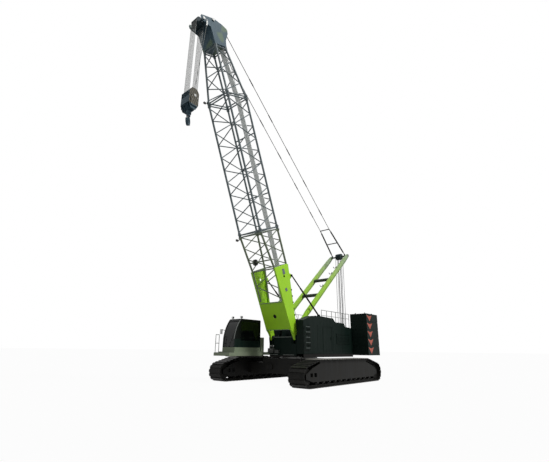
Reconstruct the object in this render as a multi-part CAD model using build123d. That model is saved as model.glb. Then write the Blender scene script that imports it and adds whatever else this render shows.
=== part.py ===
"""Crawler crane: tracked undercarriage, slewing upper works with cab and
counterweight, lattice boom with hook block, and the mast that holds the boom up.

Frame: +X is the crane's front, +Y its left, +Z up; the origin is the slew centre
on the ground. Lengths are millimetres and angles are degrees."""
from build123d import *
import math
import os

# ------------------------------------------------------------------ general
seat_gap = 0.3          # between a piece and the seat it lies in
running_gap = 6         # between neighbours that move past each other
pin_gap = 1.0           # round a pin in its bore

# ------------------------------------------------------------- undercarriage
track_gauge = 6390      # between the centres of the two tracks
shoe_width = 1040
shoe_count = 72
shoe_thickness = 60
shoe_joint = 110        # open joint between two shoes
shoe_joint_depth = 42
wheel_base = 8080       # idler to sprocket
loop_end_radius = 578   # outer radius of the loop round its end wheels
loop_top_z = 1462
loop_top_front = 2898   # ends of the level upper run
loop_top_rear = -2760
chain_offset = 230      # from the track's centre line to each link strip
chain_strip_width = 110
chain_height = 90
wheel_hub_radius = 170
sprocket_teeth = 13
sprocket_notch_radius = 42
roller_radius = 140
roller_count = 11
roller_pitch = 620
roller_axle_radius = 50
carrier_radius = 92
carrier_places = (2720, 950, -850, -2600)
frame_plate = 50        # side plates of a track frame
frame_half_width = 380
frame_bottom_z = 300
frame_box_bottom_z = 450
frame_box_top_z = 1090
frame_top_z = 1245
window_size = (240, 200)
window_places = (3300, 3690)
carbody_half_length = 1900
carbody_half_width = 1500
carbody_top_z = 1400
carbody_bottom_z = 480
cross_beam_width = 760
cross_beam_top_z = 1130
slew_ring_radius = 1250
slew_ring_height = 120

# ---------------------------------------------------------------- deck frame
deck_bottom_z = 1600
deck_plate = 100
deck_half_width = 1122
deck_rear_x = -6400
deck_front_x = 1725
girder_inner_y = 600
girder_outer_y = 740
girder_top_z = 2300
front_box_rear_x = 760
front_box_half_width = 800
front_box_top_z = 2740
race_radius = 1150

# ----------------------------------------------------------------- boom foot
boom_angle = 68.0       # of the stored pose, above the level
boom_foot_x = 1608
boom_foot_z = 2677
boom_foot_y = 966       # centre of each foot
foot_width = 160
foot_pin_radius = 90
foot_boss_radius = 165
lug_thickness = 60

# --------------------------------------------------------------- boom lengths
butt_plate_end = 4617   # distances along the boom from its foot pins
butt_end = 7097
insert_end = 16008
top_end = 19560
section_width = 1935    # over the chords
section_depth = 1892
plate_width = 2087      # butt, over its side plates
plate_front = 520       # butt at its plates' end: front and rear of the axis
plate_rear = 930
head_width = 1227
head_depth = 1006
head_offset = -62
chord_radius = 66
brace_radius = 33
post_radius = 42
side_plate = 40
front_plate_start = 650
front_plate_end = 2480
front_plate_thickness = 30
front_plate_hole_radius = 135
front_plate_hole_place = 1540
insert_panels = 10
top_panels = 4
butt_panels = 3
joint_lug_length = 220
joint_lug_radius = 92
lug_cover = 60          # a chord tube ends this far inside its sleeves

# ------------------------------------------------------------ head and falls
sheave_radius = 290
sheave_width = 56
sheave_pitch = 84
head_sheave_count = 7
head_sheave_s = 21015   # boom-head sheave axle, along and in front of the axis
head_sheave_n = -1100
socket_pin = (20880, -920)      # dead end of the hoist rope, along and across
socket_pin_radius = 28
socket_offset = 55      # its centre plane, outside the head's left cheek
guide_sheave_s = 21200
guide_sheave_n = -250
guide_sheave_radius = 240
head_plate = 40
axle_radius = 60
pendant_anchor_s = 20900
pendant_anchor_n = 800
pendant_half_gap = 430  # pendants left and right of the centre plane
pendant_foot_half_gap = 600     # the same at the mast head
pendant_rope_radius = 22
pendant_link_radius = 34
spreader_places = (1450, 2900)  # from the mast head; the stays part below the upper one
block_axle_z = 15950
block_half_width = 400
block_half_depth = 330
block_plate = 40
block_top_z = 16480
block_bottom_z = 15080
hook_shank_radius = 75
hook_throat_radius = 150
hook_thickness = 150
hook_turn = 40          # the hook hangs turned by this angle about its shank

# ----------------------------------------------------------------------- mast
mast_foot_x = 658
mast_foot_z = 3830
mast_head_x = -6088
mast_head_z = 9645
mast_half_gap = 790     # leg centres left and right of the centre plane
mast_leg_width = 160
mast_leg_depth = 340
mast_foot_depth = 200
mast_pin_radius = 70
cross_member_places = (3000, 5130)
cross_member_radius = 120
mast_sheave_radius = 260
mast_sheave_count = 6

# ------------------------------------------------------------------ backstops
backstop_y = 1092
backstop_base_x = -920
backstop_base_z = 4230
backstop_eye_s = 3830
backstop_eye_n = 960
backstop_barrel_radius = 56
backstop_barrel_length = 2650
backstop_rod_radius = 42

# -------------------------------------------------------------------- winches
winch_places = (("main_winch_drum", -700), ("aux_winch_drum", -2150),
                ("luffing_winch_drum", -3650))
winch_axis_z = 2760
winch_half_length = 560
winch_flange_radius = 470
winch_rope_radius = 370
winch_shaft_radius = 80
luffing_block_x = -6050
luffing_block_z = 2700

# --------------------------------------------------------------------- houses
house_outer_y = 1725
house_inner_y = 960
house_front_inner_y = deck_half_width + 68    # beside the boom foot
house_wall = 50
house_bottom_z = deck_bottom_z + deck_plate
house_rear_x = -4450
house_step_x = 180
left_house_front_x = 1790
right_house_front_x = 640
engine_size = (1900, 560, 1100)
engine_place = (-2500, -1345)
exhaust_x = -2700
exhaust_radius = 80
exhaust_top_z = 4420

# ------------------------------------------------------------- counterweights
ballast_front_x = -4566
ballast_rear_x = -6417
ballast_inner_y = 1564
ballast_outer_y = 2910
ballast_top_z = 4577
ballast_tray_thickness = 90
slab_count = 5
slab_groove = 12

# ------------------------------------------------------------------------ cab
cab_rear_x = 2120
cab_front_x = 4480
cab_brow_x = 3950
cab_inner_y = -1600
cab_outer_y = -2700
cab_floor_z = 1790
cab_roof_z = 3790
cab_wall = 60
glass_thickness = 12
door_front_x = 3580
door_rear_x = 2820
door_gap = 8
hinge_pin_radius = 16
hinge_pin_length = 120
hinge_pin_margin = 250
platform_front_x = 4950
platform_outer_y = -2960
platform_inner_y = -1560
platform_bottom_z = 1540
locker_length = 270      # box behind the cab
locker_top_z = 2700

rail_radius = 19


# ------------------------------------------------------------------ utilities
def save(name, shape):
    """Write one sub-part."""
    export_step(shape, f"parts/{name}.step")


def block(x, y, z):
    """Box from three (low, high) pairs."""
    size = [high - low for low, high in (x, y, z)]
    middle = [(high + low) / 2 for low, high in (x, y, z)]
    return Pos(*middle) * Box(*size)


def rod(start, end, radius):
    """Round bar between two points."""
    start, end = Vector(*start), Vector(*end)
    return Solid.make_cylinder(radius, (end - start).length, Plane(origin=start, z_dir=end - start))


def cross_rod(x, z, y_low, y_high, radius):
    """Round bar along Y."""
    return rod((x, y_low, z), (x, y_high, z), radius)


def plate_xz(points, y_low, y_high):
    """Flat plate with an outline of (x, z) points, between two Y planes."""
    outline = Polyline(*[(x, 0, z) for x, z in points], close=True)
    face = make_face(outline)
    return Pos(0, y_low, 0) * extrude(face, amount=y_high - y_low, dir=(0, 1, 0))


def both_sides(shape):
    """A left-hand shape and its mirror image on the right."""
    return [shape, mirror(shape, about=Plane.XZ)]


def solids_of(shapes):
    """All solids in nested lists of shapes."""
    found = []
    for shape in shapes:
        found.extend(solids_of(shape) if isinstance(shape, (list, tuple)) else shape.solids())
    return found


def joined(*shapes):
    """One fused shape."""
    first, *others = solids_of(shapes)
    return first.fuse(*others) if others else first


def group(*shapes):
    """Separate solids in one sub-part."""
    return Compound(children=solids_of(shapes))


# --------------------------------------------------------------- undercarriage
def loop_corner(end_x, corner_x, side):
    """Tangent angle on an end wheel's circle of the slope up to the upper run."""
    away = Vector(corner_x - end_x, loop_top_z - loop_end_radius)
    return math.atan2(away.Y, away.X) - side * math.acos(loop_end_radius / away.length)


front_x = wheel_base / 2
rear_x = -wheel_base / 2
front_tangent = loop_corner(front_x, loop_top_front, 1)
rear_tangent = loop_corner(rear_x, loop_top_rear, -1)


def end_point(end_x, angle, inset):
    """Point on an end wheel's circle, moved inwards."""
    radius = loop_end_radius - inset
    return (end_x + radius * math.cos(angle), loop_end_radius + radius * math.sin(angle))


def top_corner(corner_x, tangent, inset):
    """Corner of the upper run, moved inwards along its bisector."""
    normal = (math.cos(tangent), math.sin(tangent))
    share = inset / (1 + normal[1])
    return (corner_x - share * normal[0], loop_top_z - share * (1 + normal[1]))


def loop_face(inset):
    """Side view of the track loop, moved inwards."""
    bottom_front = end_point(front_x, -math.pi / 2, inset)
    middle_front = end_point(front_x, 0, inset)
    upper_front = end_point(front_x, front_tangent, inset)
    corner_front = top_corner(loop_top_front, front_tangent, inset)
    corner_rear = top_corner(loop_top_rear, rear_tangent, inset)
    upper_rear = end_point(rear_x, rear_tangent, inset)
    middle_rear = end_point(rear_x, math.pi, inset)
    bottom_rear = end_point(rear_x, -math.pi / 2, inset)
    place = [(x, 0, z) for x, z in (bottom_front, middle_front, upper_front, corner_front,
                                    corner_rear, upper_rear, middle_rear, bottom_rear)]
    edges = [ThreePointArc(*place[0:3]), Line(place[2], place[3]), Line(place[3], place[4]),
             Line(place[4], place[5]), ThreePointArc(*place[5:8]), Line(place[7], place[0])]
    return make_face(edges)


def loop_runs():
    """The outer loop from the lower front: (length, place at a distance) of each run."""
    upper_front = end_point(front_x, front_tangent, 0)
    upper_rear = end_point(rear_x, rear_tangent, 0)
    corner_front = (loop_top_front, loop_top_z)
    corner_rear = (loop_top_rear, loop_top_z)

    def straight(start, end):
        run = (end[0] - start[0], end[1] - start[1])
        length = math.hypot(*run)
        unit = (run[0] / length, run[1] / length)
        inward = (-unit[1], unit[0])
        return length, lambda d, inset: (start[0] + unit[0] * d + inward[0] * inset,
                                         start[1] + unit[1] * d + inward[1] * inset)

    def bend(end_x, start_angle, end_angle):
        length = loop_end_radius * (end_angle - start_angle)
        return length, lambda d, inset: end_point(end_x, start_angle + d / loop_end_radius, inset)

    return [bend(front_x, -math.pi / 2, front_tangent), straight(upper_front, corner_front),
            straight(corner_front, corner_rear), straight(corner_rear, upper_rear),
            bend(rear_x, rear_tangent, 1.5 * math.pi), straight((rear_x, 0), (front_x, 0))]


def shoe_outline():
    """Outer outline of the shoes, open between one shoe and the next."""
    runs = loop_runs()
    pitch = sum(length for length, place in runs) / shoe_count

    def at(distance, inset):
        for length, place in runs:
            if distance <= length:
                return place(distance, inset)
            distance -= length
        return runs[0][1](distance, inset)

    points = []
    for number in range(shoe_count):
        start = number * pitch + shoe_joint / 2
        end = (number + 1) * pitch - shoe_joint / 2
        points += [at(start, shoe_joint_depth), at(start, 0), at(end, 0), at(end, shoe_joint_depth)]
    return make_face(Polyline(*[(x, 0, z) for x, z in points], close=True))


def along_y(face, middle_y, width):
    """Upright face extruded to a width centred on middle_y."""
    return Pos(0, middle_y - width / 2, 0) * extrude(face, amount=width, dir=(0, 1, 0))


def track(side):
    """One closed loop: shoes outside, two link strips inside."""
    middle = side * track_gauge / 2
    shoes = along_y(shoe_outline(), middle, shoe_width)
    shoes -= along_y(loop_face(shoe_thickness), middle, shoe_width + 2)
    chain = loop_face(shoe_thickness - 4) - loop_face(shoe_thickness + chain_height)
    strips = [along_y(chain, middle + offset, chain_strip_width)
              for offset in (-chain_offset, chain_offset)]
    return joined(shoes, strips)


chain_inner = shoe_thickness + chain_height
wheel_radius = loop_end_radius - chain_inner - seat_gap
wheel_z = loop_end_radius
wheel_rim = chain_offset + chain_strip_width / 2


def end_wheel(end_x, side):
    """Two rims, a web and a hub whose axle ends against the track frame's plates."""
    middle = side * track_gauge / 2
    span = frame_half_width - frame_plate - seat_gap
    rims = [cross_rod(end_x, wheel_z, middle + low, middle + high, wheel_radius)
            for low, high in ((-wheel_rim, -chain_offset + 55), (chain_offset - 55, wheel_rim))]
    web = cross_rod(end_x, wheel_z, middle - wheel_rim + 30, middle + wheel_rim - 30,
                    wheel_radius - 70)
    hub = cross_rod(end_x, wheel_z, middle - span, middle + span, wheel_hub_radius)
    return joined(rims, web, hub)


def sprocket(side):
    """End wheel with notches for the link pins."""
    wheel = end_wheel(rear_x, side)
    middle = side * track_gauge / 2
    notches = []
    for number in range(sprocket_teeth):
        angle = 2 * math.pi * number / sprocket_teeth
        x = rear_x + wheel_radius * math.cos(angle)
        z = wheel_z + wheel_radius * math.sin(angle)
        notches.append(cross_rod(x, z, middle - wheel_rim - 1, middle + wheel_rim + 1,
                                 sprocket_notch_radius))
    return wheel - notches


def rollers(side):
    """Lower rollers on the link strips and carrier rollers under the upper run."""
    middle = side * track_gauge / 2
    span = frame_half_width - frame_plate - seat_gap
    upper_z = loop_top_z - chain_inner - carrier_radius - seat_gap
    lower_z = chain_inner + roller_radius + seat_gap
    places = [((number - (roller_count - 1) / 2) * roller_pitch, lower_z, roller_radius)
              for number in range(roller_count)]
    places += [(x, upper_z, carrier_radius) for x in carrier_places]
    made = []
    for x, z, radius in places:
        tread = cross_rod(x, z, middle - wheel_rim, middle + wheel_rim, radius)
        axle = cross_rod(x, z, middle - span, middle + span, roller_axle_radius * radius / roller_radius)
        made.append(joined(tread, axle))
    return made


def track_frame(side):
    """Two side plates with a box between them and feet for the lower rollers."""
    middle = side * track_gauge / 2
    tip_x = front_x + 160
    shoulder_x = 3560
    outline = [(tip_x, 470), (3560, frame_bottom_z), (-3560, frame_bottom_z), (-tip_x, 470),
               (-tip_x, 700), (-shoulder_x, 1010), (loop_top_rear + 120, frame_top_z),
               (loop_top_front - 120, frame_top_z), (shoulder_x, 1010), (tip_x, 700)]
    feet_bottom = chain_inner + roller_radius - roller_axle_radius - 20
    plates = []
    for low in (-frame_half_width, frame_half_width - frame_plate):
        high = low + frame_plate
        plate = plate_xz(outline, middle + low, middle + high)
        feet = []
        for number in range(roller_count):
            x = (number - (roller_count - 1) / 2) * roller_pitch
            feet.append(block((x - 85, x + 85), (middle + low, middle + high),
                              (feet_bottom, frame_bottom_z + 20)))
        windows = [block((x - window_size[0] / 2, x + window_size[0] / 2),
                         (middle + low - 1, middle + high + 1),
                         (650 - window_size[1] / 2, 650 + window_size[1] / 2))
                   for x in window_places]
        plates.append(joined(plate, feet) - windows)
    core = block((-3150, 3080), (middle - frame_half_width + frame_plate - 5,
                                 middle + frame_half_width - frame_plate + 5),
                 (frame_box_bottom_z, frame_box_top_z))
    return joined(plates, core)


def carbody():
    """Centre box under the slew ring with a beam to each track frame front and rear."""
    reach = track_gauge / 2 - frame_half_width
    centre = block((-carbody_half_length, carbody_half_length),
                   (-carbody_half_width, carbody_half_width), (carbody_bottom_z, carbody_top_z))
    beams = []
    for sign in (-1, 1):
        outer = sign * carbody_half_length
        inner = sign * (carbody_half_length - cross_beam_width)
        beams.append(block(sorted((inner, outer)), (-reach, reach),
                           (carbody_bottom_z, cross_beam_top_z)))
    return joined(centre, beams)


def slew_ring():
    """Lower race of the slewing bearing."""
    outer = Cylinder(slew_ring_radius, slew_ring_height)
    inner = Cylinder(race_radius - 160, slew_ring_height + 2)
    return Pos(0, 0, carbody_top_z + slew_ring_height / 2) * (outer - inner)


# ------------------------------------------------------------------ upper works
def foot_lug(low, high):
    """Plate that holds the boom foot pin."""
    outline = [(1180, girder_top_z - 10), (deck_front_x, girder_top_z - 10),
               (boom_foot_x + 165, boom_foot_z - 60), (boom_foot_x + 165, boom_foot_z + 60),
               (boom_foot_x + 90, boom_foot_z + 150), (boom_foot_x - 90, boom_foot_z + 150),
               (boom_foot_x - 165, boom_foot_z + 60)]
    return plate_xz(outline, low, high)


def mast_stand(low, high):
    """Plate that holds the mast foot pin."""
    outline = [(250, girder_top_z - 10), (1120, girder_top_z - 10), (mast_foot_x + 130, mast_foot_z),
               (mast_foot_x + 90, mast_foot_z + 100), (mast_foot_x - 90, mast_foot_z + 100),
               (mast_foot_x - 130, mast_foot_z)]
    return plate_xz(outline, low, high)


lug_inner = boom_foot_y - foot_width / 2 - 10
lug_outer = boom_foot_y + foot_width / 2 + 16
mast_inner = mast_half_gap - mast_leg_width / 2 - 10
mast_outer = mast_half_gap + mast_leg_width / 2 + 10


def winch_stand(x):
    """Pair of bearing plates of one winch."""
    outline = [(x - 330, girder_top_z - 10), (x + 330, girder_top_z - 10), (x + 150, winch_axis_z + 150),
               (x - 150, winch_axis_z + 150)]
    plates = both_sides(plate_xz(outline, winch_half_length + 45, winch_half_length + 105))
    shaft = cross_rod(x, winch_axis_z, -deck_half_width, deck_half_width,
                      winch_shaft_radius + pin_gap)
    return [plate - shaft for plate in plates]


def deck_frame():
    """Revolving frame: bearing race, floor plate, two girders, front box and all lugs."""
    race = rod((0, 0, carbody_top_z + slew_ring_height + seat_gap), (0, 0, deck_bottom_z + 10), race_radius)
    floor = block((ballast_front_x + running_gap, deck_front_x), (-deck_half_width, deck_half_width),
                  (deck_bottom_z, deck_bottom_z + deck_plate))
    outriggers = [block((x - 80, x + 80), (-house_outer_y + 20, house_outer_y - 20),
                        (deck_bottom_z, deck_bottom_z + deck_plate)) for x in (-4200, -2800, -1400, 0)]
    girder = block((deck_rear_x, deck_front_x), (girder_inner_y, girder_outer_y),
                   (deck_bottom_z + deck_plate, girder_top_z))
    front_low = block((front_box_rear_x, deck_front_x), (-deck_half_width, deck_half_width),
                      (deck_bottom_z, girder_top_z))
    front_high = block((front_box_rear_x + 300, deck_front_x),
                       (-front_box_half_width + 60, front_box_half_width - 60),
                       (girder_top_z - 10, front_box_top_z))
    foot_lugs = both_sides(foot_lug(lug_inner - lug_thickness, lug_inner))
    foot_lugs += both_sides(foot_lug(lug_outer, lug_outer + lug_thickness))
    stands = both_sides(mast_stand(mast_inner - lug_thickness, mast_inner))
    stands += both_sides(mast_stand(mast_outer, mast_outer + lug_thickness))
    shelf = both_sides(block((200, front_box_rear_x + 10), (girder_inner_y, deck_half_width),
                             (deck_bottom_z, girder_top_z)))
    foot_pins = both_sides(cross_rod(boom_foot_x, boom_foot_z, lug_inner - lug_thickness - 20,
                                     lug_outer + lug_thickness + 10, foot_pin_radius))
    mast_pins = both_sides(cross_rod(mast_foot_x, mast_foot_z, mast_inner - lug_thickness - 20,
                                     mast_outer + lug_thickness + 20, mast_pin_radius))
    stands_of_winches = [winch_stand(x) for name, x in winch_places]
    return joined(race, floor, outriggers, both_sides(girder), front_low, front_high, foot_lugs, stands, shelf,
                  foot_pins, mast_pins, stands_of_winches)


def winch_drum(x):
    """Drum with its flanges, a full layer of rope and its shaft."""
    flange = [cross_rod(x, winch_axis_z, low, low + 50, winch_flange_radius)
              for low in (-winch_half_length, winch_half_length - 50)]
    rope = cross_rod(x, winch_axis_z, -winch_half_length + 40, winch_half_length - 40,
                     winch_rope_radius)
    shaft = cross_rod(x, winch_axis_z, -winch_half_length - 100, winch_half_length + 100,
                      winch_shaft_radius)
    return joined(flange, rope, shaft)


def sheave(x, z, middle_y, radius, width):
    """Grooved rope sheave on an axis along Y."""
    disc = cross_rod(x, z, middle_y - width / 2, middle_y + width / 2, radius)
    groove = Torus(radius, width * 0.32)
    return disc - Pos(x, middle_y, z) * Rot(90, 0, 0) * groove


def sheave_row(x, z, count, pitch, radius, axle_half):
    """Sheaves side by side on one axle."""
    discs = [sheave(x, z, (number - (count - 1) / 2) * pitch, radius, sheave_width)
             for number in range(count)]
    return joined(discs, cross_rod(x, z, -axle_half, axle_half, axle_radius))


def luffing_block():
    """Lower sheaves of the boom hoist between two cheeks on the girders."""
    half = (mast_sheave_count * sheave_pitch) / 2 + 30
    outline = [(luffing_block_x - 300, girder_top_z), (luffing_block_x + 300, girder_top_z),
               (luffing_block_x + 110, luffing_block_z + 120), (luffing_block_x - 110, luffing_block_z + 120)]
    cheeks = both_sides(plate_xz(outline, half, half + 40))
    foot = block((luffing_block_x - 330, luffing_block_x + 330), (-girder_outer_y, girder_outer_y),
                 (girder_top_z, girder_top_z + 60))
    row = sheave_row(luffing_block_x, luffing_block_z + 20, mast_sheave_count, sheave_pitch,
                     mast_sheave_radius, half + 50)
    return joined(cheeks, foot, row)


# Ridge line of both houses, from the rear: x, z.
house_roof = ((house_rear_x, 3530), (-3500, 3530), (-3300, 3800), (-2100, 3800), (-1780, 4060),
              (-130, 4110), (820, 4050), (2350, 3560))


def house_roof_z(x):
    """Height of the houses' roof at x."""
    for (x0, z0), (x1, z1) in zip(house_roof, house_roof[1:]):
        if x0 <= x <= x1:
            return z0 + (z1 - z0) * (x - x0) / (x1 - x0)
    return house_roof[-1][1]


def house_outline(front, drop):
    """Side view of a machinery house, with the roof and ends moved inwards by drop."""
    rear = house_rear_x + drop
    points = [(front - drop, house_bottom_z + drop), (front - drop, house_roof_z(front) - drop)]
    points += [(max(x, rear), z - drop) for x, z in reversed(house_roof) if x < front - 2 * drop]
    points.append((rear, house_bottom_z + drop))
    return points


door_places = {"house_door_left": (1, -1500, -450), "house_door_right": (-1, -3450, -2250)}
house_door_low = 1900
house_door_high = 3420
house_leaf = house_wall


def hinge_pins(x, y, low, high, radius):
    """Two upright pins on a door's hinge line."""
    return [rod((x, y, z), (x, y, z + hinge_pin_length), radius)
            for z in (low + hinge_pin_margin, high - hinge_pin_margin - hinge_pin_length)]


def house(side, front):
    """Closed machinery house with one door opening in its outer wall."""
    outer = plate_xz(house_outline(front, 0), house_inner_y, house_outer_y)
    inner = plate_xz(house_outline(front, house_wall), house_inner_y + house_wall,
                     house_outer_y - house_wall)
    shell = outer - inner
    if front > house_step_x:
        relief = block((house_step_x, front + 1), (0, house_front_inner_y), (0, 5000))
        partition = block((house_step_x - house_wall, house_step_x),
                          (house_inner_y, house_outer_y - house_wall + 5), (house_bottom_z, 4000))
        cheek = plate_xz(house_outline(front, 0), house_front_inner_y,
                         house_front_inner_y + house_wall)
        cheek -= block((-6000, house_step_x - house_wall), (0, 3000), (0, 6000))
        shell = joined(shell - relief, partition, cheek)
    if side < 0:
        shell = mirror(shell, about=Plane.XZ)
    for own_side, low, high in door_places.values():
        if own_side == side:
            face = sorted((side * (house_outer_y - house_wall - 1), side * (house_outer_y + 1)))
            shell -= block((low, high), face, (house_door_low, house_door_high))
            shell = joined(shell, hinge_pins(high - door_gap, side * house_outer_y, house_door_low,
                                             house_door_high, hinge_pin_radius))
    return shell


def house_door(name):
    """Flush door leaf, hinged at its front edge."""
    side, low, high = door_places[name]
    face = sorted((side * (house_outer_y - house_leaf), side * house_outer_y))
    leaf = block((low + door_gap, high - door_gap), face,
                 (house_door_low + door_gap, house_door_high - door_gap))
    grip_y = sorted((side * (house_outer_y - 2), side * (house_outer_y + 30)))
    grip = block((low + 70, low + 110), grip_y, (2600, 2780))
    bores = hinge_pins(high - door_gap, side * house_outer_y, house_door_low, house_door_high,
                       hinge_pin_radius + seat_gap)
    return joined(leaf, grip) - bores


def engine():
    """Plain block of the engine's size."""
    x, y = engine_place
    low = house_bottom_z + house_wall
    return block((x - engine_size[0] / 2, x + engine_size[0] / 2),
                 (y - engine_size[1] / 2, y + engine_size[1] / 2), (low, low + engine_size[2]))


def exhaust():
    """Pipe standing on the right house's roof."""
    x = exhaust_x
    base = house_roof_z(x) + seat_gap
    pipe = rod((x, -1345, base), (x, -1345, exhaust_top_z), exhaust_radius)
    collar = rod((x, -1345, base), (x, -1345, base + 60), exhaust_radius + 50)
    return joined(pipe, collar)


def handrails():
    """Guard rail along the outer edge of each roof."""
    stations = (-400, -1050, -1700, -2250, -3200, -3600, -4150)
    top_z = 4530
    made = []
    for side in (1, -1):
        y = side * (house_outer_y - 60)
        posts = [rod((x, y, house_roof_z(x) + seat_gap + 1), (x, y, top_z), rail_radius)
                 for x in stations]
        top = rod((stations[0], y, top_z), (stations[-1], y, top_z), rail_radius)
        low_z = 4180
        knee = rod((stations[0], y, low_z), (stations[-1], y, low_z), rail_radius * 0.8)
        made.append(joined(posts, top, knee))
    return made


def ladder():
    """Five rungs between two stiles on the left house's front part."""
    y_low = house_outer_y + seat_gap
    y_high = house_outer_y + 150
    ends = (left_house_front_x - 540, left_house_front_x - 50)
    stiles = [block((x - 12, x + 12), (y_high - 50, y_high), (1960, 3420)) for x in ends]
    arms = [block((x - 12, x + 12), (y_low, y_high - 45), (z - 25, z + 25))
            for x in ends for z in (2190, 3180)]
    rungs = [block((ends[0] - 5, ends[1] + 5), (y_high - 45, y_high - 5), (z - 20, z + 20))
             for z in (2050, 2370, 2690, 3010, 3330)]
    return joined(stiles, arms, rungs)


def ballast_tray():
    """Plate under both stacks, hung under the rear of the girders."""
    return block((ballast_rear_x, ballast_front_x), (-ballast_outer_y, ballast_outer_y),
                 (tray_top_z - ballast_tray_thickness, tray_top_z))


tray_top_z = deck_bottom_z + deck_plate


def ballast_stack(side):
    """Five slabs of one stack, held apart by a shallow groove."""
    slab = (ballast_top_z - tray_top_z) / slab_count
    y_pair = sorted((side * ballast_inner_y, side * ballast_outer_y))
    shape = block((ballast_rear_x, ballast_front_x), y_pair, (tray_top_z, ballast_top_z))
    for number in range(1, slab_count):
        z = tray_top_z + number * slab
        outer = block((ballast_rear_x - 1, ballast_front_x + 1), (y_pair[0] - 1, y_pair[1] + 1),
                      (z - slab_groove, z + slab_groove))
        inner = block((ballast_rear_x + 25, ballast_front_x - 25), (y_pair[0] + 25, y_pair[1] - 25),
                      (z - 20, z + 20))
        shape -= outer - inner
    return shape


# -------------------------------------------------------------------------- cab
def cab_face(inset):
    """Side view of the cab, moved inwards: upright rear, curved front."""
    low, high = cab_floor_z + inset, cab_roof_z - inset
    rear, front, brow = cab_rear_x + inset, cab_front_x - inset, cab_brow_x - inset
    knee = (front - 25, 0, low + 780)
    edges = [Line((rear, 0, low), (front, 0, low)), Line((front, 0, low), knee),
             ThreePointArc(knee, (front - 170, 0, low + 1370), (brow, 0, high)),
             Line((brow, 0, high), (rear, 0, high)), Line((rear, 0, high), (rear, 0, low))]
    return make_face(edges)


def between_y(face, low, high):
    """Upright face extruded between two Y planes."""
    return Pos(0, low, 0) * extrude(face, amount=high - low, dir=(0, 1, 0))


cab_inner_wall_y = cab_inner_y - cab_wall
cab_outer_wall_y = cab_outer_y + cab_wall
cab_belt_z = 2560
cab_lintel_z = 3640
cab_sill_z = 2080


def cab_band(x, z):
    """Part of the ring of floor, rear, roof and front that lies between the side walls."""
    ring = between_y(cab_face(0) - cab_face(cab_wall), cab_outer_wall_y, cab_inner_wall_y)
    return ring & block(x, (-5000, 0), z)


def cab_windows():
    """Window openings by name: (x pair, y pair, z pair) of the straight ones."""
    return {
        "rear": ((cab_rear_x - 1, cab_rear_x + cab_wall + 1),
                 (cab_outer_wall_y + 150, cab_inner_wall_y - 150), (cab_belt_z, cab_lintel_z)),
        "left": ((cab_rear_x + 120, cab_front_x - 520), (cab_inner_wall_y - 1, cab_inner_y + 1),
                 (cab_belt_z - 100, cab_lintel_z)),
        "quarter": ((cab_rear_x + 160, door_rear_x - 120), (cab_outer_y - 1, cab_outer_wall_y + 1),
                    (cab_belt_z, cab_lintel_z)),
        "skylight": ((cab_rear_x + 900, cab_brow_x - 350),
                     (cab_outer_wall_y + 250, cab_inner_wall_y - 250),
                     (cab_roof_z - cab_wall - 1, cab_roof_z + 1)),
    }


def windscreen_box(trim):
    """Space of the windscreen: from the sill to the brow, clear of the pillars."""
    return block((cab_brow_x - 400, cab_front_x + 1),
                 (cab_outer_wall_y + 40 + trim, cab_inner_wall_y - 40 - trim),
                 (cab_sill_z + trim, cab_roof_z - 150 - trim))


def front_quarter(trim):
    """Glass ahead of the door in the outer wall, following the windscreen's curve."""
    space = between_y(cab_face(90 + trim), cab_outer_y - 1, cab_outer_wall_y + 1)
    return space & block((door_front_x + 100 + trim, cab_front_x), (-5000, 0),
                         (cab_belt_z - 100 + trim, cab_lintel_z - trim))


def cab_hinge_pins(radius):
    """Pins on the cab door's hinge line."""
    return hinge_pins(door_rear_x + door_gap, cab_outer_y, cab_floor_z, cab_lintel_z, radius)


def cab_shell():
    """The cab's panels by name."""
    windows = {name: block(*sizes) for name, sizes in cab_windows().items()}
    floor_top = cab_floor_z + cab_wall
    roof_low = cab_roof_z - cab_wall
    door_hole = block((door_rear_x, door_front_x), (cab_outer_y - 1, cab_outer_wall_y + 1),
                      (floor_top + 20, cab_lintel_z + 60))
    side = cab_face(0)
    return {
        "cab_floor": cab_band((cab_rear_x - 1, cab_front_x + 1), (cab_floor_z - 1, floor_top)),
        "cab_rear_wall": cab_band((cab_rear_x - 1, cab_rear_x + cab_wall), (floor_top, roof_low))
                         - windows["rear"],
        "cab_roof": cab_band((cab_rear_x - 1, cab_front_x), (roof_low, cab_roof_z + 1))
                    - windows["skylight"],
        "cab_front_frame": cab_band((cab_brow_x - 400, cab_front_x + 1), (floor_top, roof_low))
                           - windscreen_box(0),
        "cab_left_wall": between_y(side, cab_inner_wall_y, cab_inner_y) - windows["left"],
        "cab_right_wall": joined(between_y(side, cab_outer_y, cab_outer_wall_y) - windows["quarter"]
                                 - door_hole - front_quarter(0),
                                 cab_hinge_pins(hinge_pin_radius)),
    }


def cab_glass():
    """Panes seated in the windows, all but the door's."""
    half = glass_thickness / 2
    inner = cab_wall / 2 - half
    sheet = between_y(cab_face(inner) - cab_face(inner + glass_thickness), cab_outer_wall_y,
                      cab_inner_wall_y)
    panes = [sheet & windscreen_box(seat_gap)]
    thin_axis = {"rear": 0, "left": 1, "quarter": 1, "skylight": 2}
    for name, sizes in cab_windows().items():
        trimmed = []
        for axis, (low, high) in enumerate(sizes):
            if axis == thin_axis[name]:
                middle = (low + high) / 2
                trimmed.append((middle - half, middle + half))
            else:
                trimmed.append((low + seat_gap, high - seat_gap))
        panes.append(block(*trimmed))
    middle_y = (cab_outer_y + cab_outer_wall_y) / 2
    panes.append(front_quarter(seat_gap) & block((0, 9000), (middle_y - half, middle_y + half), (0, 9000)))
    return group(panes)


def door_window(trim):
    """Window of the cab door."""
    return block((door_rear_x + 110 + trim, door_front_x - 110 - trim),
                 (cab_outer_y - 1, cab_outer_wall_y + 1),
                 (cab_belt_z - 250 + trim, cab_lintel_z - 60 - trim))


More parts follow.
